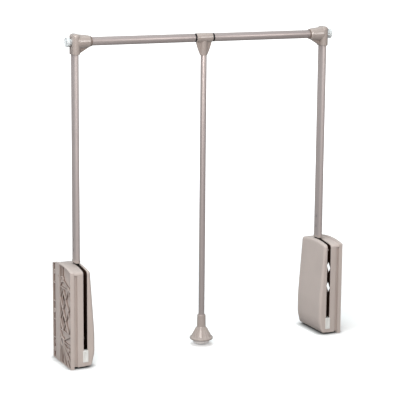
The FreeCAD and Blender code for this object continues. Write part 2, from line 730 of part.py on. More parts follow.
def pillow(label, inset):
    """The cover's outer form, drawn in by an inset: an arched slab whose face is full at the
    belly, leans back above it and curves in to the heel below it."""
    form = Piece(label)
    inset = as_size(inset)
    form.pad("YZ_Plane", arm_x, S.cover_belly - S.arm_inset + OVERSHOOT, body_outline(inset))
    heel = S.cover_belly - S.cover_heel
    fall = S.belly_low - S.body_foot
    heel_radius = (heel * heel + fall * fall) / (heel * 2)
    heel_centre = from_wall(S.cover_belly - heel_radius)
    heel_inner = heel_radius - inset
    heel_end = heel_centre + root(heel_inner * heel_inner - fall * fall)
    belly = from_wall(S.cover_belly - inset)
    bend_centre = from_wall(S.cover_belly - S.cover_bend)
    bend_x = bend_centre + (S.cover_bend - inset) * cosine(S.cover_lean)
    bend_z = S.belly_high + (S.cover_bend - inset) * sine(S.cover_lean)
    past_top = S.crown_height + OVERSHOOT
    face_end = bend_x - (past_top - bend_z) * sine(S.cover_lean) / cosine(S.cover_lean)
    outside = from_wall(S.cover_belly + OVERSHOOT * 2)
    below = S.body_foot - OVERSHOOT
    face = Outline(
        (heel_end, below),
        (outside, below),
        (outside, past_top),
        (face_end, past_top),
        (bend_x, bend_z),
        (belly, S.belly_high, bend_centre, S.belly_high, -1),
        (belly, S.belly_low),
        (heel_end, S.body_foot, heel_centre, S.belly_low, -1),
    )
    form.cut("XZ_Plane", -half_depth - OVERSHOOT, S.housing_depth + OVERSHOOT * 2, face)

    def on_face(edge, middle):
        near_face = middle.x > from_wall(S.cover_heel - inset).value - OVERSHOOT / 2
        on_side = abs(middle.y) > half_depth.value - OVERSHOOT * 2 or middle.z > S.corner_height.value
        off_joint = all(vertex.X > arm_x.value + S.shell_wall.value / 2 for vertex in edge.Vertexes)
        above_foot = middle.z > S.body_foot.value + S.shell_wall.value * 1.2
        return near_face and on_side and off_joint and above_foot

    form.fillet(S.cover_round - inset, on_face)
    return form


def make_cover_shell():
    """Smooth inner half of the housing."""
    outer = pillow("left_cover_form", 0)
    slot = box_outline(-half_depth - OVERSHOOT, S.slot_foot, slot_back, S.crown_height + OVERSHOOT)
    outer.cut("YZ_Plane", from_wall(S.arm_inset - OVERSHOOT), S.slot_wide / 2 + OVERSHOOT, slot)
    room = pillow("left_cover_room", S.shell_wall)
    posts = Piece("left_cover_posts")
    post_long = S.cover_belly - S.arm_inset + OVERSHOOT
    posts.pad("YZ_Plane", from_wall(S.arm_inset), post_long, *rings(shell_screws, S.shell_post))
    boss_start = lever_near + S.lever_thick + S.bush_side + S.free_gap
    boss = Ring(arm_y, S.pivot_height, S.pivot_boss)
    boss_piece = Piece("left_cover_boss")
    boss_piece.pad("YZ_Plane", from_wall(boss_start), post_long, boss)
    hollow = cut_away("left_cover_hollow", room.body, posts.body)
    hollow = cut_away("left_cover_hollow_inside", hollow, boss_piece.body)
    holes = Piece("left_cover_holes")
    holes.body.AllowCompound = True
    start = from_wall(S.arm_inset - OVERSHOOT)
    screw_holes = rings(shell_screws, S.shell_screw + S.seat_gap)
    holes.pad("YZ_Plane", start, S.shell_screw_grip + S.free_gap + OVERSHOOT, *screw_holes)
    axle_hole = Ring(arm_y, S.pivot_height, S.axle_radius + S.running_gap)
    holes.pad("YZ_Plane", start, axle_end + S.free_gap - S.arm_inset + OVERSHOOT, axle_hole)
    drilled = cut_away("left_cover_undrilled", outer.body, hollow)
    return cut_away("left_cover_shell", drilled, holes.body)


def make_stop_bumper():
    """Soft block at the foot of the slot: a plug with a wider flange behind the walls."""
    block = Piece("left_stop_bumper")
    front = S.body_inset + S.free_gap - half_depth
    behind = S.body_inset + S.shell_wall + S.seat_gap - half_depth
    back = front + S.bumper_deep
    low = S.slot_foot + S.seat_gap
    near = from_wall(slot_near + S.seat_gap)
    wide = S.slot_wide - S.seat_gap * 2
    block.pad("YZ_Plane", near, wide, box_outline(front, low, back, stop_top))
    flange = box_outline(behind, low, back, stop_top - S.free_gap)
    flange_near = from_wall(slot_near - S.bumper_flange)
    block.pad("YZ_Plane", flange_near, S.slot_wide + S.bumper_flange * 2, flange)
    return block.body


def make_pivot_axle():
    """Steel axle with a flat head in the lattice's hub."""
    axle = Piece("left_pivot_axle")
    start = S.lattice_deep - S.axle_head_thick
    axle.pad("YZ_Plane", from_wall(start), S.axle_head_thick, Ring(arm_y, S.pivot_height, S.axle_head))
    shank = Ring(arm_y, S.pivot_height, S.axle_radius)
    axle.pad("YZ_Plane", from_wall(S.lattice_deep), axle_end - S.lattice_deep, shank)
    return axle.body


def make_housing_screws():
    """The screws between the shells, as one group."""
    screws = Piece("left_housing_screws")
    screws.body.AllowCompound = True
    heads = rings(shell_screws, S.shell_screw_head)
    cap_start = from_wall(S.lattice_deep - S.shell_screw_cap)
    screws.pad("YZ_Plane", cap_start, S.shell_screw_cap, *heads)
    shanks = rings(shell_screws, S.shell_screw)
    long = S.arm_inset + S.shell_screw_grip - S.lattice_deep
    screws.pad("YZ_Plane", from_wall(S.lattice_deep), long, *shanks)
    return screws.body


# ---------------------------------------------------------------- gas spring

def make_spring_cylinder():
    """Closed cylinder with an eye at its top."""
    x = from_wall(spring_inset)
    cylinder = Piece("left_spring_cylinder")
    high = spring_top - spring_foot
    cylinder.pad("XY_Plane", spring_foot, high, Ring(x, yoke_y, S.spring_radius))
    eye_start = from_wall(spring_inset - S.spring_eye_thick / 2)
    neck = box_outline(
        yoke_y - S.piston_rod,
        spring_top - S.spring_end / 2,
        yoke_y + S.piston_rod,
        anchor_z,
    )
    cylinder.pad("YZ_Plane", eye_start, S.spring_eye_thick, neck)
    cylinder.pad("YZ_Plane", eye_start, S.spring_eye_thick, Ring(yoke_y, anchor_z, S.spring_eye))
    anchor_hole = Ring(yoke_y, anchor_z, S.anchor_radius + S.running_gap)
    over = eye_start - OVERSHOOT
    cylinder.cut("YZ_Plane", over, S.spring_eye_thick + OVERSHOOT * 2, anchor_hole)
    rod_hole = Ring(x, yoke_y, S.piston_rod + S.running_gap)
    cylinder.cut("XY_Plane", spring_foot - OVERSHOOT, S.spring_end + OVERSHOOT * 2, rod_hole)
    room = Ring(x, yoke_y, S.spring_radius - S.spring_wall)
    room_start = spring_foot + S.spring_end
    cylinder.cut("XY_Plane", room_start, high - S.spring_end * 2, room)
    return cylinder.body


def make_anchor_pin():
    """Pin that carries the cylinder's eye."""
    pin = Piece("left_anchor_pin")
    eye_end = spring_inset + S.spring_eye_thick / 2 + S.free_gap
    start = S.rib_sink + S.lattice_deep / 2
    pin.pad("YZ_Plane", from_wall(start), eye_end - start, Ring(yoke_y, anchor_z, S.anchor_radius))
    head = Ring(yoke_y, anchor_z, S.anchor_head)
    pin.pad("YZ_Plane", from_wall(eye_end), S.anchor_head_thick, head)
    return pin.body


def make_spring_rod():
    """Piston rod with its piston and the slotted eye that the crank pin runs in."""
    x = from_wall(spring_inset)
    rod = Piece("left_spring_rod")
    slot_half = S.crank_pin_radius + S.yoke_play
    sweep = S.crank_radius - crank_back
    wide = sweep + slot_half * 2
    rim = S.yoke_rim
    start = from_wall(spring_inset - S.yoke_thick / 2)
    plate = box_outline(
        yoke_y - wide / 2 - rim,
        crank_z - slot_half - rim,
        yoke_y + wide / 2 + rim,
        crank_z + slot_half + rim,
    )
    rod.pad("YZ_Plane", start, S.yoke_thick, plate)
    shaft_low = crank_z + slot_half + rim
    piston_top = spring_foot + S.piston_lift
    rod.pad("XY_Plane", shaft_low, piston_top - shaft_low, Ring(x, yoke_y, S.piston_rod))
    piston = Ring(x, yoke_y, S.spring_radius - S.spring_wall - S.running_gap)
    rod.pad("XY_Plane", piston_top - S.piston_thick, S.piston_thick, piston)
    y0 = yoke_y - sweep / 2
    y1 = yoke_y + sweep / 2
    slot = Outline(
        (y1, crank_z - slot_half),
        (y1, crank_z + slot_half, y1, crank_z, 1),
        (y0, crank_z + slot_half),
        (y0, crank_z - slot_half, y0, crank_z, 1),
    )
    rod.cut("YZ_Plane", start - OVERSHOOT, S.yoke_thick + OVERSHOOT * 2, slot)
    return rod.body


# ---------------------------------------------------------------- lever and arm

def make_lever():
    """Steel plate: hub on the axle, crank for the spring, arm in the slot, tongue in the tube."""
    lever = Piece("left_lever")
    start = from_wall(lever_near)
    thick = S.lever_thick
    lever.pad("YZ_Plane", start, thick, Ring(arm_y, S.pivot_height, S.lever_hub))
    half = S.lever_wide / 2
    arm = box_outline(arm_y - half, S.pivot_height, arm_y + half, foot_z - S.foot_lift / 2)
    lever.pad("YZ_Plane", start, thick, arm)
    tongue = S.tongue_wide / 2
    lever.pad("YZ_Plane", start, thick, box_outline(arm_y - tongue, S.crown_height, arm_y + tongue, tongue_z))
    crank = bar(arm_y, S.pivot_height, crank_y, crank_z, S.crank_end * 2)
    lever.pad("YZ_Plane", start, thick, crank)
    lever.pad("YZ_Plane", start, thick, Ring(crank_y, crank_z, S.crank_end))
    over = start - OVERSHOOT
    through = thick + OVERSHOOT * 2
    hub_hole = Ring(arm_y, S.pivot_height, S.bush_radius + S.seat_gap)
    crank_hole = Ring(crank_y, crank_z, S.crank_pin_radius + S.seat_gap)
    rivet_holes = [Ring(arm_y, z, S.rivet_radius + S.seat_gap) for z in rivet_heights]
    lever.cut("YZ_Plane", over, through, hub_hole, crank_hole, *rivet_holes)
    return lever.body


def make_hub_bushes():
    """Two flanged bushes, one from each side of the lever, as one group."""
    bushes = Piece("left_hub_bushes")
    bushes.body.AllowCompound = True
    y = arm_y
    z = S.pivot_height
    half = S.lever_thick / 2
    flange_near = lever_near - S.bush_side
    lever_far = lever_near + S.lever_thick
    sleeve = half - S.seat_gap
    bushes.pad("YZ_Plane", from_wall(flange_near), S.bush_side, Ring(y, z, S.bush_flange))
    bushes.pad("YZ_Plane", from_wall(lever_near), sleeve, Ring(y, z, S.bush_radius))
    bushes.pad("YZ_Plane", from_wall(lever_far - sleeve), sleeve, Ring(y, z, S.bush_radius))
    bushes.pad("YZ_Plane", from_wall(lever_far), S.bush_side, Ring(y, z, S.bush_flange))
    long = S.lever_thick + S.bush_side * 2 + OVERSHOOT * 2
    bore = Ring(y, z, S.axle_radius + S.running_gap)
    bushes.cut("YZ_Plane", from_wall(flange_near - OVERSHOOT), long, bore)
    return bushes.body


def make_crank_pin():
    """Pin from the lever's crank into the spring's slotted eye."""
    pin = Piece("left_crank_pin")
    y = crank_y
    z = crank_z
    start = spring_inset - S.yoke_thick / 2 - S.free_gap * 2
    long = lever_near + S.lever_thick - start
    pin.pad("YZ_Plane", from_wall(start), long, Ring(y, z, S.crank_pin_radius))
    shoulder = spring_inset + S.yoke_thick / 2 + S.free_gap * 2
    pin.pad("YZ_Plane", from_wall(shoulder), lever_near - shoulder, Ring(y, z, S.crank_shoulder))
    return pin.body


def make_arm_foot():
    """Plastic foot: a collar round the tube's end and a plug round the lever's tongue."""
    foot = Piece("left_arm_foot")
    x = arm_x
    y = arm_y
    wall = S.foot_wall * 2
    gap = S.seat_gap * 2
    foot.pad("XY_Plane", foot_z, S.foot_collar, oval(x, y, S.tube_wide + wall, S.tube_deep + wall))
    seat = oval(x, y, S.tube_wide + gap, S.tube_deep + gap)
    foot.cut("XY_Plane", tube_z, S.foot_collar + OVERSHOOT, seat)
    inner_wide = S.tube_wide - S.tube_wall * 2 - gap
    inner_deep = S.tube_deep - S.tube_wall * 2 - gap
    foot.pad("XY_Plane", foot_z, tongue_z - foot_z, oval(x, y, inner_wide, inner_deep))
    half_x = S.lever_thick / 2 + S.seat_gap
    half_y = S.tongue_wide / 2 + S.seat_gap
    channel = box_outline(x - half_x, y - half_y, x + half_x, y + half_y)
    foot.cut("XY_Plane", foot_z - OVERSHOOT, tongue_z - foot_z + OVERSHOOT * 2, channel)
    rivet_holes = [Ring(y, z, S.rivet_radius + S.seat_gap) for z in rivet_heights]
    foot.cut("YZ_Plane", x - S.tube_wide, S.tube_wide * 2, *rivet_holes)
    return foot.body


def make_arm_tube():
    """Flat-oval steel tube."""
    tube = Piece("left_arm_tube")
    high = rod_z - S.tube_end_below - tube_z
    tube.pad("XY_Plane", tube_z, high, oval(arm_x, arm_y, S.tube_wide, S.tube_deep))
    wall = S.tube_wall * 2
    bore = oval(arm_x, arm_y, S.tube_wide - wall, S.tube_deep - wall)
    tube.cut("XY_Plane", tube_z - OVERSHOOT, high + OVERSHOOT * 2, bore)
    rivet_holes = [Ring(arm_y, z, S.rivet_radius + S.seat_gap) for z in rivet_heights]
    tube.cut("YZ_Plane", arm_x - S.tube_wide, S.tube_wide * 2, *rivet_holes)
    return tube.body


def make_arm_rivets():
    """Flush rivets through tube, foot and lever, as one group."""
    rivets = Piece("left_arm_rivets")
    rivets.body.AllowCompound = True
    shanks = [Ring(arm_y, z, S.rivet_radius) for z in rivet_heights]
    rivets.pad("YZ_Plane", arm_x - S.tube_wide / 2, S.tube_wide, *shanks)
    return rivets.body


# ---------------------------------------------------------------- elbow and hanging rod

def make_elbow():
    """Corner between arm and rod: oval socket, cone and gusset."""
    elbow = Piece("left_elbow")
    x = arm_x
    y = arm_y
    wall = S.elbow_wall * 2
    low = rod_z - S.elbow_below
    high = S.elbow_above + S.elbow_below
    elbow.pad("XY_Plane", low, high, oval(x, y, S.tube_wide + wall, S.tube_deep + wall))
    top = rod_z.value + S.elbow_above.value

    def on_top(edge, middle):
        return abs(middle.z - top) < 0.01

    elbow.fillet(S.elbow_round, on_top)
    tip_x = x + S.cone_long
    end_x = tip_x + S.cone_bevel
    cone = Outline(
        (x, rod_z),
        (end_x, rod_z),
        (end_x, rod_z + S.cone_mouth),
        (tip_x, rod_z + S.cone_tip),
        (x + S.tube_wide / 2, rod_z + S.cone_root),
        (x, rod_z + S.cone_root),
    )
    elbow.turn("XZ_Plane", y, [(x, rod_z), (end_x, rod_z)], cone)
    gusset = Outline(
        (x, low + S.gusset_low),
        (x + S.tube_wide / 2 + S.elbow_wall, low + S.gusset_low),
        (tip_x, low + S.gusset_low + S.gusset_rise),
        (tip_x, rod_z - S.rod_radius),
        (x, rod_z - S.rod_radius),
    )
    elbow.pad("XZ_Plane", y - S.gusset_thick / 2, S.gusset_thick, gusset)
    gap = S.seat_gap * 2
    socket = oval(x, y, S.tube_wide + gap, S.tube_deep + gap)
    deep = S.elbow_below - S.tube_end_below + S.seat_gap
    elbow.cut("XY_Plane", low - OVERSHOOT, deep + OVERSHOOT, socket)
    bore = Ring(y, rod_z, S.rod_radius + S.seat_gap)
    elbow.cut("YZ_Plane", x + S.rod_seat, S.cone_long + OVERSHOOT, bore)
    stem = Ring(y, rod_z, S.bumper_stem_radius + S.seat_gap)
    outer_face = x - S.tube_wide / 2 - S.elbow_wall
    elbow.cut("YZ_Plane", outer_face - OVERSHOOT, OVERSHOOT + S.bumper_stem + S.seat_gap, stem)
    return elbow.body


def make_side_bumper():
    """Clear mushroom-shaped buffer on the elbow's outer face."""
    bumper = Piece("left_side_bumper")
    y = arm_y
    z = rod_z
    face = arm_x - S.tube_wide / 2 - S.elbow_wall
    disc = face - S.bumper_neck - S.bumper_disc
    bumper.pad("YZ_Plane", disc, S.bumper_disc, Ring(y, z, S.bumper_radius))
    rim_x = disc.value

    def on_rim(edge, middle):
        return abs(middle.x - rim_x) < 0.01

    bumper.fillet(S.bumper_round, on_rim)
    bumper.pad("YZ_Plane", face - S.bumper_neck, S.bumper_neck, Ring(y, z, S.bumper_neck_radius))
    bumper.pad("YZ_Plane", face, S.bumper_stem, Ring(y, z, S.bumper_stem_radius))
    return bumper.body


def make_rod_ring():
    """Black ring between the elbow's cone and the rod."""
    ring = Piece("left_rod_ring")
    start = arm_x + S.cone_long + S.cone_bevel
    ring.pad("YZ_Plane", start, S.ring_thick, Ring(arm_y, rod_z, S.ring_radius))
    hole = Ring(arm_y, rod_z, S.rod_radius + S.seat_gap)
    ring.cut("YZ_Plane", start - OVERSHOOT, S.ring_thick + OVERSHOOT * 2, hole)
    return ring.body


def rod_gap():
    """From the tee's end to the outer tube's mouth: the tee's ring and the bush's flange."""
    return S.free_gap * 2 + S.tee_ring_thick + S.rod_bush_flange


def make_rod_tube(label, start, end):
    """Outer tube of the hanging rod."""
    tube = Piece(label)
    tube.pad("YZ_Plane", start, end - start, Ring(arm_y, rod_z, S.rod_radius))
    bore = Ring(arm_y, rod_z, S.rod_radius - S.rod_wall)
    tube.cut("YZ_Plane", start - OVERSHOOT, end - start + OVERSHOOT * 2, bore)
    return tube.body


def make_rod_bush(label, flange_start, sleeve_start):
    """Guide bush: a flange outside the tube's mouth and a sleeve inside it."""
    bush = Piece(label)
    bush.pad("YZ_Plane", flange_start, S.rod_bush_flange, Ring(arm_y, rod_z, S.rod_radius))
    sleeve = Ring(arm_y, rod_z, S.rod_radius - S.rod_wall - S.seat_gap)
    bush.pad("YZ_Plane", sleeve_start, S.rod_bush_long, sleeve)
    bore = Ring(arm_y, rod_z, S.core_radius + S.running_gap)
    start = sleeve_start - S.rod_bush_flange - OVERSHOOT
    bush.cut("YZ_Plane", start, S.rod_bush_long + (S.rod_bush_flange + OVERSHOOT) * 2, bore)
    return bush.body


def make_inner_tube():
    """Telescopic tube inside both outer tubes."""
    tube = Piece("inner_tube")
    start = tee_x - S.core_half
    tube.pad("YZ_Plane", start, S.core_half * 2, Ring(arm_y, rod_z, S.core_radius))
    bore = Ring(arm_y, rod_z, S.core_radius - S.core_wall)
    tube.cut("YZ_Plane", start - OVERSHOOT, S.core_half * 2 + OVERSHOOT * 2, bore)
    return tube.body


def make_tee_rings():
    """Rings on the inner tube at both ends of the tee, as one group."""
    group = Piece("tee_rings")
    group.body.AllowCompound = True
    thick = S.tee_ring_thick
    starts = [tee_x - S.tee_half - S.free_gap - thick, tee_x + S.tee_half + S.free_gap]
    for start in starts:
        group.pad("YZ_Plane", start, thick, Ring(arm_y, rod_z, S.tee_ring_radius))
    bore = Ring(arm_y, rod_z, S.core_radius)
    group.cut("YZ_Plane", starts[0] - OVERSHOOT, S.tee_half * 2 + OVERSHOOT * 4, bore)
    return group.body


# ---------------------------------------------------------------- tee, pull rod and knob

def make_tee():
    """T-shaped fitting: a sleeve round the inner tube, a socket below it and two webs."""
    tee = Piece("tee")
    x = tee_x
    y = arm_y
    low = rod_z - S.tee_below
    half = S.tee_half
    tee.pad("YZ_Plane", x - half, half * 2, Ring(y, rod_z, S.tee_radius))
    tee.pad("XY_Plane", low, S.tee_below, Ring(x, y, S.tee_socket))
    web_z = rod_z - S.tee_web_drop
    web = Outline(
        swelling(x - half, web_z, x - S.tee_socket, low, S.tee_web_bulge),
        (x + S.tee_socket, low),
        swelling(x + S.tee_socket, low, x + half, web_z, S.tee_web_bulge),
        (x - half, web_z),
    )
    tee.pad("XZ_Plane", y - S.tee_web / 2, S.tee_web, web)
    bore = Ring(y, rod_z, S.core_radius + S.running_gap)
    tee.cut("YZ_Plane", x - half - OVERSHOOT, half * 2 + OVERSHOOT * 2, bore)
    socket = Ring(x, y, S.pull_radius + S.seat_gap)
    deep = S.tee_below - S.pull_top + S.seat_gap
    tee.cut("XY_Plane", low - OVERSHOOT, deep + OVERSHOOT, socket)
    screw = Ring(x, rod_z - S.tee_screw_below, S.tee_screw_radius + S.seat_gap)
    tee.cut("XZ_Plane", y, S.tee_radius * 2, screw)
    return tee.body


def make_tee_screw():
    """Headless screw through the back of the tee's socket into the pull rod."""
    screw = Piece("tee_screw")
    end = arm_y + S.tee_socket
    shank = Ring(tee_x, rod_z - S.tee_screw_below, S.tee_screw_radius)
    screw.pad("XZ_Plane", end - S.tee_screw_long, S.tee_screw_long, shank)
    return screw.body


def make_pull_rod():
    """Long handle tube."""
    rod = Piece("pull_rod")
    x = tee_x
    high = rod_z - S.pull_top - S.knob_bore_low
    rod.pad("XY_Plane", S.knob_bore_low, high, Ring(x, arm_y, S.pull_radius))
    bore = Ring(x, arm_y, S.pull_radius - S.pull_wall)
    rod.cut("XY_Plane", S.knob_bore_low - OVERSHOOT, high + OVERSHOOT * 2, bore)
    screw = Ring(x, rod_z - S.tee_screw_below, S.tee_screw_radius + S.seat_gap)
    rod.cut("XZ_Plane", arm_y, S.pull_radius * 2, screw)
    return rod.body


def make_knob():
    """Bell-shaped grip: collar, conical skirt with ribs, and brim."""
    knob = Piece("knob")
    x = tee_x
    edge = S.knob_brim_edge
    edge_x = x + S.knob_brim - edge
    mid = S.knob_brim_mid
    skirt_top = S.knob_neck - S.knob_step
    profile = Outline(
        (x, S.knob_low),
        (x + S.knob_under, S.knob_low),
        (edge_x, mid - edge),
        (edge_x, mid + edge, edge_x, mid, 1),
        (x + S.knob_skirt, S.knob_brim_high),
        (x + S.knob_shoulder, skirt_top),
        (x + S.knob_waist, S.knob_neck),
        (x + S.knob_collar, S.knob_top),
        (x, S.knob_top),
    )
    knob.turn("XZ_Plane", arm_y, [(x, S.knob_low), (x, S.knob_top)], profile)
    out = S.knob_rib_out
    foot = S.knob_brim_high - out
    rib = Outline(
        (x + S.knob_skirt - out, foot),
        (x + S.knob_skirt + out, foot),
        (x + S.knob_skirt + out, S.knob_brim_high),
        (x + S.knob_shoulder + out, skirt_top - out),
        (x + S.knob_waist, skirt_top - out),
    )
    thick = S.knob_rib_thick
    pad = knob.pad("XZ_Plane", arm_y - thick / 2, thick, rib)
    ribs = knob.body.newObject("PartDesign::PolarPattern", "knob_ribs")
    ribs.Originals = [pad]
    origin = knob.body.Origin.OriginFeatures
    ribs.Axis = (next(feature for feature in origin if feature.Role == "Z_Axis"), [""])
    ribs.Angle = 360
    ribs.setExpression("Occurrences", S.knob_rib_count.text)
    knob.body.Tip = ribs
    bore = Ring(x, arm_y, S.pull_radius + S.seat_gap)
    start = S.knob_bore_low - S.seat_gap
    knob.cut("XY_Plane", start, S.knob_top - start + OVERSHOOT, bore)
    spigot = Ring(x, arm_y, S.pad_spigot + S.seat_gap)
    knob.cut("XY_Plane", S.knob_low - OVERSHOOT, OVERSHOOT + S.pad_spigot_high + S.seat_gap, spigot)
    return knob.body


def make_knob_pad():
    """Rounded pad under the brim, held by a spigot in the knob."""
    pad = Piece("knob_pad")
    x = tee_x
    high = S.knob_low - S.pad_low
    pad.pad("XY_Plane", S.pad_low, high, Ring(x, arm_y, S.pad_radius))

    def on_edge(edge, middle):
        return abs(middle.z - S.pad_low.value) < 0.01

    pad.fillet(S.pad_round, on_edge)
    pad.pad("XY_Plane", S.knob_low, S.pad_spigot_high, Ring(x, arm_y, S.pad_spigot))
    return pad.body


# ---------------------------------------------------------------- the whole

def build():
    """Make every piece and return them by name."""
    left = [
        make_base_shell(),
        make_cover_shell(),
        make_stop_bumper(),
        make_pivot_axle(),
        make_housing_screws(),
        make_spring_cylinder(),
        make_anchor_pin(),
        make_spring_rod(),
        make_lever(),
        make_hub_bushes(),
        make_crank_pin(),
        make_arm_foot(),
        make_arm_tube(),
        make_arm_rivets(),
        make_elbow(),
        make_side_bumper(),
        make_rod_ring(),
    ]
    pieces = list(left)
    for piece in left:
        pieces.append(mirrored(piece.Label.replace("left_", "right_"), piece))

    tube_start = arm_x + S.rod_seat + S.seat_gap
    left_mouth = tee_x - S.tee_half - rod_gap()
    right_mouth = tee_x + S.tee_half + rod_gap()
    pieces.append(make_rod_tube("left_rod_tube", tube_start, left_mouth))
    pieces.append(make_rod_tube("right_rod_tube", right_mouth, -tube_start))
    pieces.append(make_rod_bush("left_rod_bush", left_mouth, left_mouth - S.rod_bush_long))
    pieces.append(make_rod_bush("right_rod_bush", right_mouth - S.rod_bush_flange, right_mouth))
    pieces.append(make_inner_tube())
    pieces.append(make_tee_rings())
    pieces.append(make_tee())
    pieces.append(make_tee_screw())
    pieces.append(make_pull_rod())
    pieces.append(make_knob())
    pieces.append(make_knob_pad())
    return pieces


def check(pieces):
    """Stop if any object failed or any piece has a bad shape."""
    for item in doc.Objects:
        if "Invalid" in item.State or "Error" in item.State:
            raise RuntimeError(f"{item.Name} failed: {item.State}")
    for piece in pieces:
        shape = piece.Shape
        if shape.isNull() or not shape.isValid() or shape.Volume <= 0:
            raise RuntimeError(f"{piece.Label} has a bad shape")


pieces = build()
doc.recompute()
check(pieces)
os.makedirs("parts", exist_ok=True)
for piece in pieces:
    piece.Shape.exportStep(f"parts/{piece.Label}.step")
    print(f"{piece.Label}: {len(piece.Shape.Solids)} solids, {piece.Shape.Volume:.1f} mm3")
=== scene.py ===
# %% [markdown]
# # A pull-down wardrobe rod
# Two sprung housings are screwed to the side walls of a wardrobe. A flat-oval arm stands up from
# each, a telescopic rod joins the arms, and a handle with a bell-shaped grip hangs from a tee in
# the middle. The engineering model gives every piece its size and place. This file gives the
# pieces their finish: moulded plastic with soft edges, powder-coated tube, zinc-plated steel.

import json
import math

import bmesh
import bpy
import numpy as np
from mathutils import Matrix, Vector

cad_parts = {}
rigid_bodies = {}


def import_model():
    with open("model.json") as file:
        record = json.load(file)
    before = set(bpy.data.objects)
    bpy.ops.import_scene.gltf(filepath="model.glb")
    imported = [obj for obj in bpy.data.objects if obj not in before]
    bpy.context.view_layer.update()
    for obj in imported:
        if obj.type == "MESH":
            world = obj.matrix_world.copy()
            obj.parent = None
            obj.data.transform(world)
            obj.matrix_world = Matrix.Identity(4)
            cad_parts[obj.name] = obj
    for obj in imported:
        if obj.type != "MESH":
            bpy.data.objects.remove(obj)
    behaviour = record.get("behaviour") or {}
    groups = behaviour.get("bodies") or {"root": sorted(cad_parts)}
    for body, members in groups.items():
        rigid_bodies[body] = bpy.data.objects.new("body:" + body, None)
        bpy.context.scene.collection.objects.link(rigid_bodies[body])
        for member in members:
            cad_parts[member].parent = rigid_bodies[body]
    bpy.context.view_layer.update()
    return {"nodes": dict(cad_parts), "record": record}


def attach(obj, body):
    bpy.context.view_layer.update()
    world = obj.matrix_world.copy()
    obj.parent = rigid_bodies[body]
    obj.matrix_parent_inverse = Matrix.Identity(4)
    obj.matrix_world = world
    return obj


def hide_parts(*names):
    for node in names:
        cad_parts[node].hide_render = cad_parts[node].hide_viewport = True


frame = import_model()
NODES = frame["nodes"]
MM = 0.001

# %% [markdown]
# ## The camera
# The view is from the front left and a little above, with a long lens, so that the upright arms
# stay nearly parallel. The camera could be aimed with a Track To constraint, but three angles
# (yaw to the right, pitch down, roll) say exactly the same thing and are easy to adjust.

# %% Camera
YAW, PITCH, ROLL = math.radians(25.925), math.radians(9.883), math.radians(0.479)
CAMERA_PLACE = Vector((-1.608, -3.2912, 1.1439))
LENS_MM, SENSOR_MM = 126.4, 36.0
SHIFT_Y = -0.1
SIGHT = 200.0


def camera_axes(yaw, pitch, roll):
    """Right, up and backward directions of a camera that looks along +Y when all angles are 0."""
    forward = Vector((math.sin(yaw) * math.cos(pitch), math.cos(yaw) * math.cos(pitch), -math.sin(pitch)))
    level = Vector((math.cos(yaw), -math.sin(yaw), 0.0))
    above = level.cross(forward)
    right = level * math.cos(roll) + above * math.sin(roll)
    up = above * math.cos(roll) - level * math.sin(roll)
    return right, up, -forward


camera_data = bpy.data.cameras.new("studio_camera")
camera_data.lens = LENS_MM
camera_data.sensor_width = SENSOR_MM
camera_data.sensor_fit = "HORIZONTAL"
camera_data.shift_y = SHIFT_Y
camera_data.clip_end = SIGHT
camera = bpy.data.objects.new("studio_camera", camera_data)
bpy.context.scene.collection.objects.link(camera)
turn = Matrix(camera_axes(YAW, PITCH, ROLL)).transposed().to_4x4()
camera.matrix_world = Matrix.Translation(CAMERA_PLACE) @ turn
bpy.context.scene.camera = camera
print("camera at", [round(v, 3) for v in CAMERA_PLACE], "lens", LENS_MM, "mm")

# %% [markdown]
# ## Light and background
# A white backdrop could be made by flooding the floor with light, but that washes out pale
# plastic. Here the sky is white only for camera rays and rays through glass (Light Path), and
# the lamps stay at a level where a colour looks as it is written. The key is a warm lamp at the
# front left, and a small one at the right draws the bright stripe along the tubes. Two cool
# lamps, at the side and above, fill the shadows. Those two aren't mirrored in anything, or they
# would draw more stripes, as large softboxes do when they aren't flagged off.

# %% World and lamps
scene = bpy.context.scene
scene.view_settings.view_transform = "Standard"
SKY_FILL, SKY_SEEN = 0.46, 1.0
WHITE = (1.0, 1.0, 1.0, 1.0)


def plug(tree, value, socket):
    """Links another node's output to a socket, or writes a plain value on it."""
    if isinstance(value, bpy.types.NodeSocket):
        tree.links.new(value, socket)
    else:
        socket.default_value = value


def maths(tree, operation, *values):
    """The result of a Math node on one or two values."""
    node = tree.nodes.new("ShaderNodeMath")
    node.operation = operation
    for value, socket in zip(values, node.inputs):
        plug(tree, value, socket)
    return node.outputs[0]


def mapped(tree, value, source, target, shape="LINEAR"):
    """Carries the range source of a value over to the range target, held at both ends."""
    node = tree.nodes.new("ShaderNodeMapRange")
    node.interpolation_type = shape
    for key, limit in zip(("From Min", "From Max", "To Min", "To Max"), (*source, *target)):
        node.inputs[key].default_value = limit
    tree.links.new(value, node.inputs["Value"])
    return node.outputs["Result"]


def object_place(tree):
    """A point's Object coordinates, in metres."""
    return tree.nodes.new("ShaderNodeTexCoord").outputs["Object"]


def seen_directly(tree):
    """1 for rays that show the background itself: camera rays, and rays through glass, else 0."""
    path = tree.nodes.new("ShaderNodeLightPath")
    return maths(tree, "MAXIMUM", path.outputs["Is Camera Ray"], path.outputs["Is Transmission Ray"])


def white_sky(tree, strength):
    """A white background of a given strength."""
    shader = tree.nodes.new("ShaderNodeBackground")
    shader.inputs["Color"].default_value = WHITE
    shader.inputs["Strength"].default_value = strength
    return shader.outputs[0]


world = bpy.data.worlds.new("studio")
scene.world = world
world.use_nodes = True
sky = world.node_tree
sky.nodes.clear()
sky_mix = sky.nodes.new("ShaderNodeMixShader")
sky.links.new(seen_directly(sky), sky_mix.inputs["Fac"])
sky.links.new(white_sky(sky, SKY_FILL), sky_mix.inputs[1])
sky.links.new(white_sky(sky, SKY_SEEN), sky_mix.inputs[2])
sky_out = sky.nodes.new("ShaderNodeOutputWorld")
sky.links.new(sky_mix.outputs[0], sky_out.inputs["Surface"])


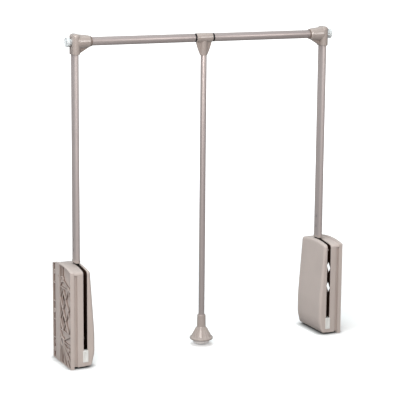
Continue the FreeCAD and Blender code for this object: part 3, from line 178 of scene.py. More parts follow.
def soft_lamp(name, place, aim, size, power, colour, mirrored=True):
    """A square area lamp at place, facing aim. Shiny pieces mirror it only if mirrored."""
    data = bpy.data.lights.new(name, "AREA")
    data.color = colour
    data.shape = "SQUARE"
    data.size = size
    data.energy = power
    lamp = bpy.data.objects.new(name, data)
    scene.collection.objects.link(lamp)
    direction = Vector(aim) - Vector(place)
    lamp.matrix_world = Matrix.Translation(place) @ direction.to_track_quat("-Z", "Y").to_matrix().to_4x4()
    lamp.visible_glossy = mirrored


soft_lamp(
    "key", place=(-1.5, -2.2, 1.5), aim=(-0.2, 0.0, 0.4), size=1.4, power=41.0, colour=(1.0, 0.94, 0.89)
)
soft_lamp(
    "side",
    place=(-2.8, -1.0, 2.0),
    aim=(0.0, 0.0, 0.5),
    size=1.6,
    power=35.0,
    colour=(0.91, 0.96, 1.0),
    mirrored=False,
)
soft_lamp(
    "stripe", place=(1.8, -3.2, 1.7), aim=(0.0, 0.0, 0.6), size=1.2, power=24.0, colour=(1.0, 0.96, 0.93)
)
soft_lamp(
    "top",
    place=(-0.2, 0.1, 2.8),
    aim=(0.0, 0.0, 0.4),
    size=1.8,
    power=38.0,
    colour=(0.84, 0.97, 1.0),
    mirrored=False,
)
print("sky fill", SKY_FILL, "and", sum(o.type == "LIGHT" for o in bpy.data.objects), "lamps")

# %% [markdown]
# The floor is a white sheet. Near the product the lamps and a low glow make it white. Further off
# the lamps fade and the glow grows, as on a lit backdrop. Only camera rays and rays through glass
# see the full white: for the light that bounces up, the sheet is greyer. Where something stands
# within 22 mm of the sheet, its contact shade is deepened. That fades out towards the middle,
# where the grip hangs free of the floor.

# %% Floor
FLOOR_HALF = 30.0
FLOOR_SEEN, FLOOR_BOUNCE = 0.90, 0.28
GLOW_NEAR, GLOW_FAR = 0.22, 1.0
GLOW_FROM, GLOW_TO = 0.7, 3.0
CONTACT_REACH, CONTACT_POWER = 0.022, 1.2
CONTACT_FROM, CONTACT_TO = 0.08, 0.25

floor_mesh = bpy.data.meshes.new("floor")
corners = [(-1, -1), (1, -1), (1, 1), (-1, 1)]
floor_mesh.from_pydata([(x * FLOOR_HALF, y * FLOOR_HALF, 0.0) for x, y in corners], [], [(0, 1, 2, 3)])
floor = bpy.data.objects.new("floor", floor_mesh)
scene.collection.objects.link(floor)

floor_look = bpy.data.materials.new("white_floor")
floor_look.use_nodes = True
tree = floor_look.node_tree
tree.nodes.clear()
seen = seen_directly(tree)
place = object_place(tree)
axes = tree.nodes.new("ShaderNodeSeparateXYZ")
tree.links.new(place, axes.inputs[0])
aside = maths(tree, "ABSOLUTE", axes.outputs["X"])
contact_power = mapped(tree, aside, (CONTACT_FROM, CONTACT_TO), (0.0, CONTACT_POWER))
contact = tree.nodes.new("ShaderNodeAmbientOcclusion")
contact.inputs["Distance"].default_value = CONTACT_REACH
shade = maths(tree, "POWER", contact.outputs["AO"], contact_power)
sheet = mapped(tree, seen, (0.0, 1.0), (FLOOR_BOUNCE, FLOOR_SEEN))
floor_matt = tree.nodes.new("ShaderNodeBsdfDiffuse")
tree.links.new(maths(tree, "MULTIPLY", sheet, shade), floor_matt.inputs["Color"])
far_off = tree.nodes.new("ShaderNodeVectorMath")
far_off.operation = "LENGTH"
tree.links.new(place, far_off.inputs[0])
glow = mapped(tree, far_off.outputs["Value"], (GLOW_FROM, GLOW_TO), (GLOW_NEAR, GLOW_FAR), "SMOOTHSTEP")
glow_seen = maths(tree, "MULTIPLY", glow, seen)
floor_glow = tree.nodes.new("ShaderNodeEmission")
tree.links.new(maths(tree, "MULTIPLY", glow_seen, shade), floor_glow.inputs["Strength"])
floor_sum = tree.nodes.new("ShaderNodeAddShader")
tree.links.new(floor_matt.outputs[0], floor_sum.inputs[0])
tree.links.new(floor_glow.outputs[0], floor_sum.inputs[1])
floor_out = tree.nodes.new("ShaderNodeOutputMaterial")
tree.links.new(floor_sum.outputs[0], floor_out.inputs["Surface"])
floor.data.materials.append(floor_look)
print("floor", FLOOR_HALF * 2, "m wide, glow", GLOW_NEAR, "to", GLOW_FAR)

# %% [markdown]
# ## Finishes
# Moulded plastic is never one flat colour: the mould is spark-eroded, so the skin has a fine
# grain, and the gloss wanders a little. One function makes every opaque finish: a colour that
# drifts slightly with a broad noise, and a roughness and a bump that follow a fine one. The
# noises read Object coordinates in metres, so the grain has its real size on every piece.

# %% Opaque finishes
BROAD_SCALE, BROAD_DETAIL, FINE_DETAIL = 14.0, 3.0, 2.0
NOISE_LOW, NOISE_HIGH = 0.3, 0.7
BUMP_STRENGTH = 0.5
COAT_ROUGHNESS = 0.14
# The painted shade's number is raised to this power before it darkens a colour.
PAINTED_SHADE_POWER = 2.0


def srgb(*values):
    """Linear colour of an 8-bit screen colour."""
    c = np.array(values, float) / 255.0
    linear = np.where(c <= 0.04045, c / 12.92, ((c + 0.055) / 1.055) ** 2.4)
    return (*linear.tolist(), 1.0)


def noise(tree, place, scale, detail):
    """A noise texture of a given scale per metre, read at place."""
    node = tree.nodes.new("ShaderNodeTexNoise")
    node.inputs["Scale"].default_value = scale
    node.inputs["Detail"].default_value = detail
    tree.links.new(place, node.inputs["Vector"])
    return node.outputs["Fac"]


def spread(tree, value, low, high):
    """Carries the usual range of a noise over to low..high."""
    return mapped(tree, value, (NOISE_LOW, NOISE_HIGH), (low, high))


def blended(tree, share, first, second):
    """A colour between first and second, each another node's output or a plain colour."""
    node = tree.nodes.new("ShaderNodeMix")
    node.data_type = "RGBA"
    tree.links.new(share, node.inputs[0])
    plug(tree, first, node.inputs[6])
    plug(tree, second, node.inputs[7])
    return node.outputs[2]


def scaled(colour, factor):
    """A colour made darker or paler."""
    return (*np.minimum(np.array(colour[:3]) * factor, 1.0).tolist(), 1.0)


def finish(name, colour, drift, rough, grain, metal=0.0, coat=0.0, shade_colour=None):
    """A principled material whose colour and gloss wander, with a fine raised grain. rough is
    the mean roughness and how far it wanders, grain the grain's size and height in millimetres.
    Where a mesh carries its number of painted shade, the colour sinks towards the given shade colour by
    the square of it: painted shade, as falls in a recess."""
    look = bpy.data.materials.new(name)
    look.use_nodes = True
    tree = look.node_tree
    shader = tree.nodes["Principled BSDF"]
    shader.inputs["Metallic"].default_value = metal
    shader.inputs["Coat Weight"].default_value = coat
    shader.inputs["Coat Roughness"].default_value = COAT_ROUGHNESS
    place = object_place(tree)
    broad = noise(tree, place, BROAD_SCALE, BROAD_DETAIL)
    fine = noise(tree, place, 1.0 / (grain[0] * MM), FINE_DETAIL)
    dark, pale = scaled(colour, 1.0 - drift), scaled(colour, 1.0 + drift)
    shown = blended(tree, spread(tree, broad, 0.0, 1.0), dark, pale)
    if shade_colour is not None:
        # Painted shade: the colour is darkened by a number that the mesh carries.
        shade_attribute = tree.nodes.new("ShaderNodeAttribute")
        shade_attribute.attribute_name = "painted_shade"
        sunk = maths(tree, "POWER", shade_attribute.outputs["Fac"], PAINTED_SHADE_POWER)
        shown = blended(tree, sunk, shown, shade_colour)
    tree.links.new(shown, shader.inputs["Base Color"])
    wander = spread(tree, fine, rough[0] - rough[1], rough[0] + rough[1])
    tree.links.new(wander, shader.inputs["Roughness"])
    raised = tree.nodes.new("ShaderNodeBump")
    raised.inputs["Strength"].default_value = BUMP_STRENGTH
    raised.inputs["Distance"].default_value = grain[1] * MM
    tree.links.new(fine, raised.inputs["Height"])
    tree.links.new(raised.outputs["Normal"], shader.inputs["Normal"])
    return look


# Painted shade: the brown that recesses and the insides of the housings are darkened towards.
PAINTED_SHADE_COLOUR = srgb(86, 62, 50)
HOUSING = finish(
    "housing_plastic", srgb(192, 180, 174), drift=0.03, rough=(0.44, 0.06), grain=(0.6, 0.06), shade_colour=PAINTED_SHADE_COLOUR
)
FITTING = finish(
    "fitting_plastic",
    srgb(169, 157, 151),
    drift=0.03,
    rough=(0.34, 0.05),
    grain=(0.6, 0.04),
    coat=1.0,
    shade_colour=PAINTED_SHADE_COLOUR,
)
TUBE = finish(
    "champagne_tube", srgb(192, 181, 179), drift=0.02, rough=(0.40, 0.05), grain=(0.4, 0.02), metal=0.6
)
ARM = finish(
    "champagne_arm", srgb(183, 173, 171), drift=0.02, rough=(0.50, 0.05), grain=(0.4, 0.02), metal=0.3
)
STEEL = finish(
    "zinc_steel", srgb(176, 176, 178), drift=0.05, rough=(0.32, 0.08), grain=(1.0, 0.02), metal=1.0
)
SPRING = finish("black_paint", srgb(30, 30, 31), drift=0.05, rough=(0.35, 0.05), grain=(0.6, 0.02))
NEAR_BLACK_STEEL = finish(
    "near_black_steel", srgb(40, 38, 37), drift=0.06, rough=(0.42, 0.08), grain=(0.8, 0.02), metal=0.6
)
BLACK = finish("black_plastic", srgb(22, 21, 21), drift=0.05, rough=(0.42, 0.05), grain=(0.6, 0.03))
SMOKED = finish("smoked_plastic", srgb(124, 108, 99), drift=0.05, rough=(0.40, 0.05), grain=(0.6, 0.03))
STOP = finish("soft_stop_plastic", srgb(226, 226, 223), drift=0.02, rough=(0.42, 0.05), grain=(0.8, 0.03))
PAD = finish("soft_pad_plastic", srgb(250, 244, 242), drift=0.01, rough=(0.50, 0.05), grain=(0.8, 0.03))
print("finishes:", [m.name for m in bpy.data.materials if m.name != "white_floor"])

# %% [markdown]
# The side bumpers are clear plastic, cloudy rather than like glass, as such buffers are moulded
# and not polished. Full transmission would let the white background through and they would
# vanish, so the shader transmits in part, with a rough surface and a low index.

# %% Clear finish
CLEAR = bpy.data.materials.new("clear_plastic")
CLEAR.use_nodes = True
clear_shader = CLEAR.node_tree.nodes["Principled BSDF"]
clear_shader.inputs["Base Color"].default_value = (0.82, 0.85, 0.86, 1.0)
clear_shader.inputs["Transmission Weight"].default_value = 0.4
clear_shader.inputs["Roughness"].default_value = 0.4
clear_shader.inputs["IOR"].default_value = 1.3
print("clear finish:", CLEAR.name)

# %% [markdown]
# ## Dressing the engineering model
# Every engineering piece gets a finish by its material slot. It also shows where no smoother skin takes
# its place. The levers and their bushes could be bright zinc like the pins, but what is seen of such
# levers in the slot is black, so they get a near-black finish.

# %% Give every engineering piece its finish
LOOK_OF = {
    "housing_plastic": HOUSING,
    "fitting_plastic": FITTING,
    "tube_paint": TUBE,
    "steel": STEEL,
    "spring_black": SPRING,
    "black_plastic": BLACK,
    "soft_stop": STOP,
    "clear_plastic": CLEAR,
}
for part in frame["record"]["subparts"]:
    mesh = NODES[part["node"]].data
    mesh.materials.clear()
    look = LOOK_OF[part["material_slot"]]
    mesh.materials.append(NEAR_BLACK_STEEL if part["node"].endswith(("_lever", "_hub_bushes")) else look)

# %% [markdown]
# ## How the smooth pieces are made
# The engineering meshes are made of flat facets. Pieces whose skin is seen close get a new skin
# from a formula: a section (a closed outline with its outward normals) is carried along a
# profile of offsets and heights. With a round section this is a lathe, with a flat-oval one it
# is a drawn tube with rounded lips. Numpy works out a whole grid of points at once.

# %% Sections and profiles, in millimetres
def circle(count):
    """A round section: one centre, and normals all round."""
    turn = np.linspace(0.0, 2.0 * np.pi, count, endpoint=False)
    return np.zeros((count, 2)), np.column_stack([np.cos(turn), np.sin(turn)])


def block(half_a, half_b, steps):
    """A rounded rectangle's skeleton: its four corner centres, each with a quarter turn of
    normals. Halves of 0 give an oval or a circle."""
    quarter = np.linspace(0.0, np.pi / 2.0, steps)
    turn = (quarter[None, :] + np.arange(4)[:, None] * np.pi / 2.0).ravel()
    signs = np.repeat(np.array([[1, 1], [-1, 1], [-1, -1], [1, -1]], float), steps, axis=0)
    return signs * np.array([half_a, half_b]), np.column_stack([np.cos(turn), np.sin(turn)])


def soft_line(corners, closed=True, steps=7):
    """A profile of (offset, height, rounding) corners whose corners are turned into arcs. The
    arc of a corner touches both its edges at rounding / tan(half its angle) from the corner."""
    points = np.array([c[:2] for c in corners], float)
    radii = np.array([c[2] if len(c) > 2 else 0.0 for c in corners], float)
    before = np.roll(points, 1, axis=0) - points
    after = np.roll(points, -1, axis=0) - points
    ends = () if closed else (0, len(points) - 1)
    rows = []
    for number, (corner, radius) in enumerate(zip(points, radii)):
        if radius == 0.0 or number in ends:
            rows.append(corner[None])
            continue
        a = before[number] / np.linalg.norm(before[number])
        b = after[number] / np.linalg.norm(after[number])
        half = np.arccos(np.clip(a @ b, -1.0, 1.0)) / 2.0
        centre = corner + (a + b) / np.linalg.norm(a + b) * radius / np.sin(half)
        first = corner + a * radius / np.tan(half) - centre
        final = corner + b * radius / np.tan(half) - centre
        sweep = np.pi - 2.0 * half
        t = np.linspace(0.0, 1.0, steps)[:, None]
        arc = (np.sin((1 - t) * sweep) * first + np.sin(t * sweep) * final) / np.sin(sweep)
        rows.append(centre + arc)
    return np.concatenate(rows)


AXES = {"X": (0, 1, 2), "Y": (1, 2, 0), "Z": (2, 0, 1)}


def carried(section, profile, centre, axis):
    """Grid of points: every (offset, height) of the profile, with the section's points moved out
    along their normals by the offset and up the axis by the height."""
    points, normals = section
    along, first, second = AXES[axis]
    grid = np.zeros((len(profile), len(points), 3))
    flat = points[None] + normals[None] * profile[:, None, :1]
    grid[:, :, first] = flat[:, :, 0]
    grid[:, :, second] = flat[:, :, 1]
    grid[:, :, along] = profile[:, None, 1]
    return grid + np.array(centre, float)


def capped(grid):
    """The grid with a middle point added at both ends, which closes them."""
    first = np.broadcast_to(grid[:1].mean(axis=1, keepdims=True), grid[:1].shape)
    final = np.broadcast_to(grid[-1:].mean(axis=1, keepdims=True), grid[-1:].shape)
    return np.concatenate([first, grid, final])


def quads(rows, columns, wrap, start):
    """Corner numbers of the faces between neighbouring grid points. Columns always close on
    themselves, and rows do where wrap is true."""
    i = np.arange(rows if wrap else rows - 1)[:, None]
    j = np.arange(columns)[None, :]
    below, right = (i + 1) % rows, (j + 1) % columns
    around = [i * columns + j, i * columns + right, below * columns + right, below * columns + j]
    return np.stack(around, axis=-1).reshape(-1, 4) + start


JOINED_WITHIN, NO_LENGTH = 1e-6, 1e-7


def set_painted_shade(mesh, depth, domain="POINT"):
    """Stores an amount of painted shade, 0 to 1, for each point or face corner, which the finishes darken
    by.
    """
    mesh.attributes.new("painted_shade", "FLOAT", domain).data.foreach_set("value", depth.astype(np.float32))


def skin(name, surfaces, sharp=32.0, painted_shade=None):
    """A mesh of closed surfaces. Each is (grid in mm, wrap). Equal points are joined, so poles close, and
    faces are turned outwards. The last argument gives each surface one number per row: its amount of
    painted shade."""
    points, faces, start = [], [], 0
    for grid, wrap in surfaces:
        rows, columns = grid.shape[:2]
        points.append(grid.reshape(-1, 3) * MM)
        faces.append(quads(rows, columns, wrap, start))
        start += rows * columns
    mesh = bpy.data.meshes.new(name)
    mesh.from_pydata(np.concatenate(points).tolist(), [], np.concatenate(faces).tolist())
    if painted_shade is not None:
        shade_values = [np.repeat(tone, grid.shape[1]) for tone, (grid, _) in zip(painted_shade, surfaces)]
        set_painted_shade(mesh, np.concatenate(shade_values))
    work = bmesh.new()
    work.from_mesh(mesh)
    bmesh.ops.remove_doubles(work, verts=work.verts, dist=JOINED_WITHIN)
    bmesh.ops.dissolve_degenerate(work, edges=work.edges, dist=NO_LENGTH)
    bmesh.ops.recalc_face_normals(work, faces=work.faces)
    work.to_mesh(mesh)
    work.free()
    mesh.shade_smooth()
    mesh.set_sharp_from_angle(angle=math.radians(sharp))
    return mesh


def add_piece(name, mesh, body, stands_for, slot, look):
    """A new piece that rides on a body and takes the place of a node."""
    piece = bpy.data.objects.new(name, mesh)
    scene.collection.objects.link(piece)
    mesh.materials.append(look)
    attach(piece, body)
    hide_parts(stands_for)
    box = np.array([v.co for v in mesh.vertices])
    print(f"{name}: {len(mesh.polygons)} faces, size {np.round(np.ptp(box, axis=0) / MM, 1).tolist()} mm")
    return piece


def add_skin(node, surfaces, body, slot, look, sharp=32.0, painted_shade=None):
    """The piece NODE_skin, made of closed surfaces, in the place of the node."""
    name = f"{node}_skin"
    add_piece(name, skin(name, surfaces, sharp, painted_shade), body, node, slot, look)


def mirror(surfaces, side):
    """The same surfaces on the other side of the plane X = 0."""
    flip = np.array([1.0 if side == "left" else -1.0, 1.0, 1.0])
    return [(grid * flip, wrap) for grid, wrap in surfaces]


# %% [markdown]
# ## Sizes
# All in millimetres, the same as in the engineering model. The left-hand pieces are worked out
# and the right-hand ones mirrored. A bore is wider than what it takes by FIT all round.

# %% Sizes
SIDES = ("left", "right")
WALL_X, ARM_X, ROD_Z = -400.0, -359.0, 830.0
DEEP_HALF, CROWN_Z, CROWN_RISE = 65.0, 262.0, 8.0
ARM_WIDE, ARM_DEEP = 13.0, 31.0
ROD_R, CORE_R, PULL_R, TUBE_WALL = 11.0, 9.5, 8.0, 1.2
FIT = 0.06
FOOT_Z, TUBE_Z, ARM_TOP = 264.0, 266.0, ROD_Z - 14.5
ROD_FROM, ROD_TO, CORE_HALF = ARM_X + 9.55, -28.1, 260.0
PULL_FOOT, PULL_TOP = 34.0, ROD_Z - 18.5
ARM_BORE, ROD_BORE, CORE_BORE, PULL_BORE = ARM_WIDE / 2.0 + FIT, ROD_R + FIT, CORE_R + FIT, PULL_R + FIT

# %% [markdown]
# ## Drawn tubes
# The hanging rod, its inner tube, the arms and the pull rod are thin steel tubes. A tube's
# profile is a closed strip: outer skin, lip, bore, lip. The lips are broken by 0.3 mm, as a
# saw cut that has been deburred is. The arms are flat ovals: two half circles and two flats.

# %% Tubes
LIP = 0.3
OVAL_SKELETON = (ARM_DEEP - ARM_WIDE) / 2.0
arm_section = block(0.0, OVAL_SKELETON, 14)
rod_section = circle(72)


def tube_surface(section, outer, low, high, centre, axis):
    """Closed tube: the section offset by outer and by outer - TUBE_WALL, between two heights."""
    bore = outer - TUBE_WALL
    corners = [(outer, low, LIP), (outer, high, LIP), (bore, high, LIP), (bore, low, LIP)]
    return carried(section, soft_line(corners, steps=4), centre, axis), True


arm = tube_surface(arm_section, ARM_WIDE / 2.0, TUBE_Z, ARM_TOP, (ARM_X, 0, 0), "Z")
rod = tube_surface(rod_section, ROD_R, ROD_FROM, ROD_TO, (0, 0, ROD_Z), "X")
core = tube_surface(rod_section, CORE_R, -CORE_HALF, CORE_HALF, (0, 0, ROD_Z), "X")
pull = tube_surface(rod_section, PULL_R, PULL_FOOT, PULL_TOP, (0, 0, 0), "Z")
for side in SIDES:
    add_skin(f"{side}_arm_tube", mirror([arm], side), f"{side}_frame", "tube_paint", ARM)
    add_skin(f"{side}_rod_tube", mirror([rod], side), f"{side}_frame", "tube_paint", TUBE)
add_skin("inner_tube", [core], "rod_core", "tube_paint", TUBE)
add_skin("pull_rod", [pull], "pull_handle", "tube_paint", TUBE)

# %% [markdown]
# ## Knob and pad
# The grip is one moulding: a plain collar, a conical skirt with raised ribs for the fingers and a
# brim with a rounded edge. It is a lathe form whose radius also depends on the angle: on the
# skirt each rib adds 1.2 mm over a width that stays the same from top to bottom, so the ribs
# are parallel strips as on the real grip. The pad under it is softer and plain.

# %% Knob and pad. A corner of a profile is (radius, height, rounding)
RIBS, RIB_HALF, RIB_OUT, RIB_FLANK = 16, 1.3, 1.2, 0.7
STEPS_PER_RIB, SKIRT_ROWS = 26, 26
KNOB_UNDER = [(0, 15.5), (26.0, 15.5, 0.8), (31.6, 16.3, 1.8), (31.4, 20.9, 1.9), (27.2, 22.9)]
SKIRT_FOOT, SKIRT_TOP = (26.3, 23.5), (13.2, 48.0)
KNOB_COLLAR = [(12.5, 48.8, 0.4), (12.1, 50.2, 0.8), (11.4, 76.0), (11.2, 83.0, 0.9)]
KNOB_BORE = [(PULL_BORE, 83.0), (PULL_BORE, PULL_FOOT), (0, PULL_FOOT)]
RIB_FOOT, FOOT_FADE, RIB_TOP, TOP_FADE, LEAST_RADIUS = 22.2, 1.0, 47.6, 0.8, 12.9
PAD_LINE = [(0, 5.4), (22.5, 5.4, 6.0), (22.5, 15.5, 0.6), (0, 15.5)]


def eased(share):
    """0 to 1 with a level start and end: 3 s^2 - 2 s^3, held at both ends."""
    s = np.clip(share, 0.0, 1.0)
    return s * s * (3 - 2 * s)


def knob_surface():
    """Radius r(angle, height): a lathe profile plus, on the skirt, RIB_OUT where the distance
    along the circle to the nearest rib is under RIB_HALF, with flanks RIB_FLANK wide."""
    t = np.linspace(0.0, 1.0, SKIRT_ROWS)[:, None]
    skirt = np.array(SKIRT_FOOT) * (1 - t) + np.array(SKIRT_TOP) * t
    under = soft_line(KNOB_UNDER, closed=False)
    top = soft_line(KNOB_COLLAR + KNOB_BORE, closed=False)
    profile = np.concatenate([under, skirt, top])
    radius, height = profile[:, :1], profile[:, 1:]
    columns = RIBS * STEPS_PER_RIB
    grid = carried(circle(columns), profile, (0, 0, 0), "Z")
    turn = np.linspace(0.0, 2.0 * np.pi, columns, endpoint=False)[None, :]
    spacing = 2.0 * np.pi / RIBS
    apart = np.abs((turn + spacing / 2) % spacing - spacing / 2) * radius
    rib = eased((RIB_HALF + RIB_FLANK / 2.0 - apart) / RIB_FLANK)
    below = np.clip((RIB_TOP - height) / TOP_FADE, 0, 1)
    above = np.clip((height - RIB_FOOT) / FOOT_FADE, 0, 1)
    on_skirt = above * below * (radius > LEAST_RADIUS)
    push = 1.0 + RIB_OUT * rib * on_skirt / np.maximum(radius, 1.0)
    grid[:, :, :2] *= push[:, :, None]
    return grid, False


add_skin("knob", [knob_surface()], "pull_handle", "fitting_plastic", FITTING, sharp=50.0)
pad = carried(circle(96), soft_line(PAD_LINE, closed=False, steps=12), (0, 0, 0), "Z")
add_skin("knob_pad", [(pad, False)], "pull_handle", "soft_stop", PAD)

# %% [markdown]
# ## Tee
# The tee is a moulding in the shape of a T: a sleeve that turns on the inner tube, a socket for
# the pull rod, and a web each side that runs from the sleeve's ends to the socket's mouth with a
# slightly swelling edge. The socket's top is a saddle that follows the sleeve. Three closed
# surfaces that meet inside each other make it, as the real one is one solid with crisp inner
# corners.

# %% Tee
TEE_HALF, SLEEVE_R = 23.0, 12.1
SOCKET_R, SOCKET_MOUTH = 9.4, 784.0
SLEEVE_LINE = [
    (CORE_BORE, -TEE_HALF, 0.3),
    (SLEEVE_R, -TEE_HALF, 1.0),
    (SLEEVE_R, TEE_HALF, 1.0),
    (CORE_BORE, TEE_HALF, 0.3),
]
SOCKET_LINE = [
    (PULL_BORE, SOCKET_MOUTH, 0.2),
    (SOCKET_R, SOCKET_MOUTH, 0.6),
    (SOCKET_R, ROD_Z),
    (PULL_BORE, ROD_Z),
]
SADDLE_R, SADDLE_HALF = 10.8, 9.6
TEE_WEB_TOP, TEE_WEB_TALL, TEE_WEB_SWELL = ROD_Z - 8.0, 38.0, 1.5
TEE_WEB_EDGE, TEE_WEB_FLAT = 1.2, 1.3


def web_rows(count, steps, skeleton):
    """An empty grid for a web of count rows, its rows' shares 0 to 1, and its section."""
    points, normals = block(*skeleton, steps)
    return np.zeros((count, len(points), 3)), np.linspace(0.0, 1.0, count), points, normals


def across_web(turned, edge, flat):
    """Half the web's thickness, with its sign: rounded edge plus flat core."""
    return turned * edge + np.sign(np.round(turned, 6)) * flat


def tee_surfaces():
    """Sleeve along X, socket along Z whose top lies in the sleeve's wall, and the webs: a flat
    oval whose half length goes from the sleeve's to the socket's on the way down, plus a
    swelling."""
    sleeve = carried(circle(72), soft_line(SLEEVE_LINE), (0, 0, ROD_Z), "X")
    socket = carried(circle(56), soft_line(SOCKET_LINE), (0, 0, 0), "Z")
    saddle = ROD_Z - np.sqrt(SADDLE_R**2 - np.clip(socket[:, :, 1], -SADDLE_HALF, SADDLE_HALF) ** 2)
    socket[:, :, 2] = np.minimum(socket[:, :, 2], saddle)
    web, t, points, normals = web_rows(22, 6, (1.0, 0.0))
    reach = TEE_HALF + (SOCKET_R - TEE_HALF) * t + TEE_WEB_SWELL * np.sin(np.pi * t)
    length = points[None, :, 0] * (reach[:, None] - TEE_WEB_EDGE)
    web[:, :, 0] = length + normals[None, :, 0] * TEE_WEB_EDGE
    web[:, :, 1] = across_web(normals[None, :, 1], TEE_WEB_EDGE, TEE_WEB_FLAT)
    web[:, :, 2] = (TEE_WEB_TOP - TEE_WEB_TALL * t)[:, None]
    return [(sleeve, True), (socket, True), (capped(web), False)]


def web_shaded(surfaces, tone):
    """The painted shade of every row: tone on the last surface, which is the web, and 0 elsewhere."""
    plain = [np.zeros(len(grid)) for grid, _ in surfaces[:-1]]
    return [*plain, np.full(len(surfaces[-1][0]), tone)]


tee = tee_surfaces()
# Painted shade on the tee's web, set back between the sleeve and the socket.
add_skin("tee", tee, "pull_handle", "fitting_plastic", FITTING, painted_shade=web_shaded(tee, 0.25))

# %% [markdown]
# ## Elbows
# Each corner fitting is moulded in one piece: an oval socket that slips over the arm, a cone
# that takes the rod, and a web under the cone that carries the bending load. The socket's top
# is domed. The web is a strip of rounded sections from the socket to the cone's tip. Where the
# two halves of the mould met, a low ridge runs along the cone at the front and at the back.

# %% Elbows. The cone's corners are (radius, distance from the arm's axis, rounding)
POST_R, POST_FOOT, POST_TOP, DOME = 10.0, 798.5, 850.5, 8.0
POST_CEILING = ARM_TOP + 0.1
POST_LINE = [
    (ARM_BORE, POST_FOOT, 0.3),
    (POST_R, POST_FOOT, 0.9),
    (POST_R, POST_TOP, DOME),
    (0, POST_TOP),
    (0, POST_CEILING),
    (ARM_BORE, POST_CEILING),
]
CONE_OUTSIDE = [(0, 2.0), (18.8, 2.0, 3.0), (18.8, 7.5, 6.0), (15.4, 37.0, 1.2), (12.4, 41.0, 0.5)]
CONE_BORE = [(ROD_BORE, 41.0, 0.2), (ROD_BORE, 9.5), (0, 9.5)]
SEAM_OUT, SEAM_HALF, CONE_MEAN = 0.35, 0.6, 15.0
SEAM_LEAST_R, SEAM_FROM = 12.5, 8.0
WEB_FROM, WEB_LONG, WEB_TOP = 2.0, 34.8, ROD_Z - 6.0
WEB_FOOT, WEB_RISE, RISE_FROM, RISE_LONG = 799.1, 16.0, 10.0, 27.0
WEB_EDGE, WEB_FLAT = 1.6, 2.4


def cone_surface():
    """The cone along X. Each point moves out by SEAM_OUT exp(-(d / SEAM_HALF)^2), where d is how
    far it is from the nearer parting line, round a circle of the cone's mean radius."""
    line = soft_line(CONE_OUTSIDE + CONE_BORE, closed=False)
    columns = 240
    turn = np.linspace(0.0, 2.0 * np.pi, columns, endpoint=False)
    off_seam = np.abs((turn + np.pi / 2.0) % np.pi - np.pi / 2.0)
    seam = SEAM_OUT * np.exp(-((off_seam * CONE_MEAN / SEAM_HALF) ** 2))
    outside = (line[:, :1] > SEAM_LEAST_R) & (line[:, 1:] > SEAM_FROM)
    cone = carried(circle(columns), line, (0, 0, 0), "X")
    cone[:, :, 1:] *= (1.0 + seam * outside / CONE_MEAN)[:, :, None]
    return cone + np.array([ARM_X, 0.0, ROD_Z])


def elbow_surfaces():
    """Oval post, cone along X and web. The web's lower edge is level, then a straight line up to
    the tip, and its section is a flat oval 8 mm thick."""
    post = carried(block(0.0, OVAL_SKELETON, 20), soft_line(POST_LINE, steps=12), (ARM_X, 0, 0), "Z")
    web, t, points, normals = web_rows(24, 7, (0.0, 1.0))
    x = ARM_X + WEB_FROM + WEB_LONG * t
    foot = WEB_FOOT + np.clip((x - ARM_X - RISE_FROM) / RISE_LONG, 0, 1) * WEB_RISE
    middle, half = (WEB_TOP + foot) / 2.0, (WEB_TOP - foot) / 2.0
    tall = points[None, :, 1] * (half[:, None] - WEB_EDGE) + normals[None, :, 1] * WEB_EDGE
    web[:, :, 0] = x[:, None]
    web[:, :, 1] = across_web(normals[None, :, 0], WEB_EDGE, WEB_FLAT)
    web[:, :, 2] = middle[:, None] + tall
    return [(post, False), (cone_surface(), False), (capped(web), False)]


elbow = elbow_surfaces()
for side in SIDES:
    surfaces = mirror(elbow, side)
    # Painted shade on the web, which lies in the shadow under the cone.
    shade_values = web_shaded(elbow, 0.55)
    add_skin(f"{side}_elbow", surfaces, f"{side}_frame", "fitting_plastic", FITTING, painted_shade=shade_values)

# %% [markdown]
# ## Side bumpers, rod rings, arm feet and stops
# Small mouldings. The side bumper is a clear mushroom with a dished face, the rod ring is a smoky
# brown washer at the cone's mouth, the arm foot is an oval cup, and the stop is a soft block in
# the slot whose cap is wider than the slot and has a shallow oval dent.

# %% Small mouldings. Profile corners are (radius or offset, place along the axis, rounding)
BUMPER_X = ARM_X - 10.0
BUMPER_STEM = [(0, 4.9), (4.0, 4.9, 0.5), (4.0, 0.0), (7.5, 0.0), (7.5, -4.8, 1.6)]
BUMPER_DISC = [(13.0, -6.4, 1.0), (13.0, -14.0, 2.6), (9.0, -14.0, 0.6), (8.0, -13.2, 0.6), (0, -13.0)]
RING_LINE = [(ROD_BORE, 41.05, 0.2), (13.2, 41.05, 0.6), (13.2, 43.5, 0.6), (ROD_BORE, 43.5, 0.2)]
CUP_OUTSIDE = [(0, FOOT_Z), (7.3, FOOT_Z, 0.6), (7.3, 270.0, 0.3)]
CUP_INSIDE = [(ARM_BORE, 270.0, 0.15), (ARM_BORE, 266.05), (0, 266.05)]
PLUG_LINE = [(0, 266.2), (5.2, 266.2), (5.2, 341.9, 0.6), (0, 341.9)]


def side_bumper_surfaces():
    """Lathe form along X: stem, neck with a flare, disc with a rounded rim and a dished face."""
    line = soft_line(BUMPER_STEM + BUMPER_DISC, closed=False, steps=9)
    return [(carried(circle(72), line, (BUMPER_X, 0, ROD_Z), "X"), False)]


def rod_ring_surfaces():
    """A washer with rounded rims."""
    return [(carried(circle(64), soft_line(RING_LINE), (ARM_X, 0, ROD_Z), "X"), True)]


def arm_foot_surfaces():
    """Oval cup round the arm tube's end, and the plug inside the tube."""
    cup_line = soft_line(CUP_OUTSIDE + CUP_INSIDE, closed=False)
    cup = carried(block(0.0, OVAL_SKELETON, 14), cup_line, (ARM_X, 0, 0), "Z")
    plug_line = soft_line(PLUG_LINE, closed=False)
    plug = carried(block(0.0, OVAL_SKELETON, 10), plug_line, (ARM_X, 0, 0), "Z")
    return [(cup, False), (plug, False)]


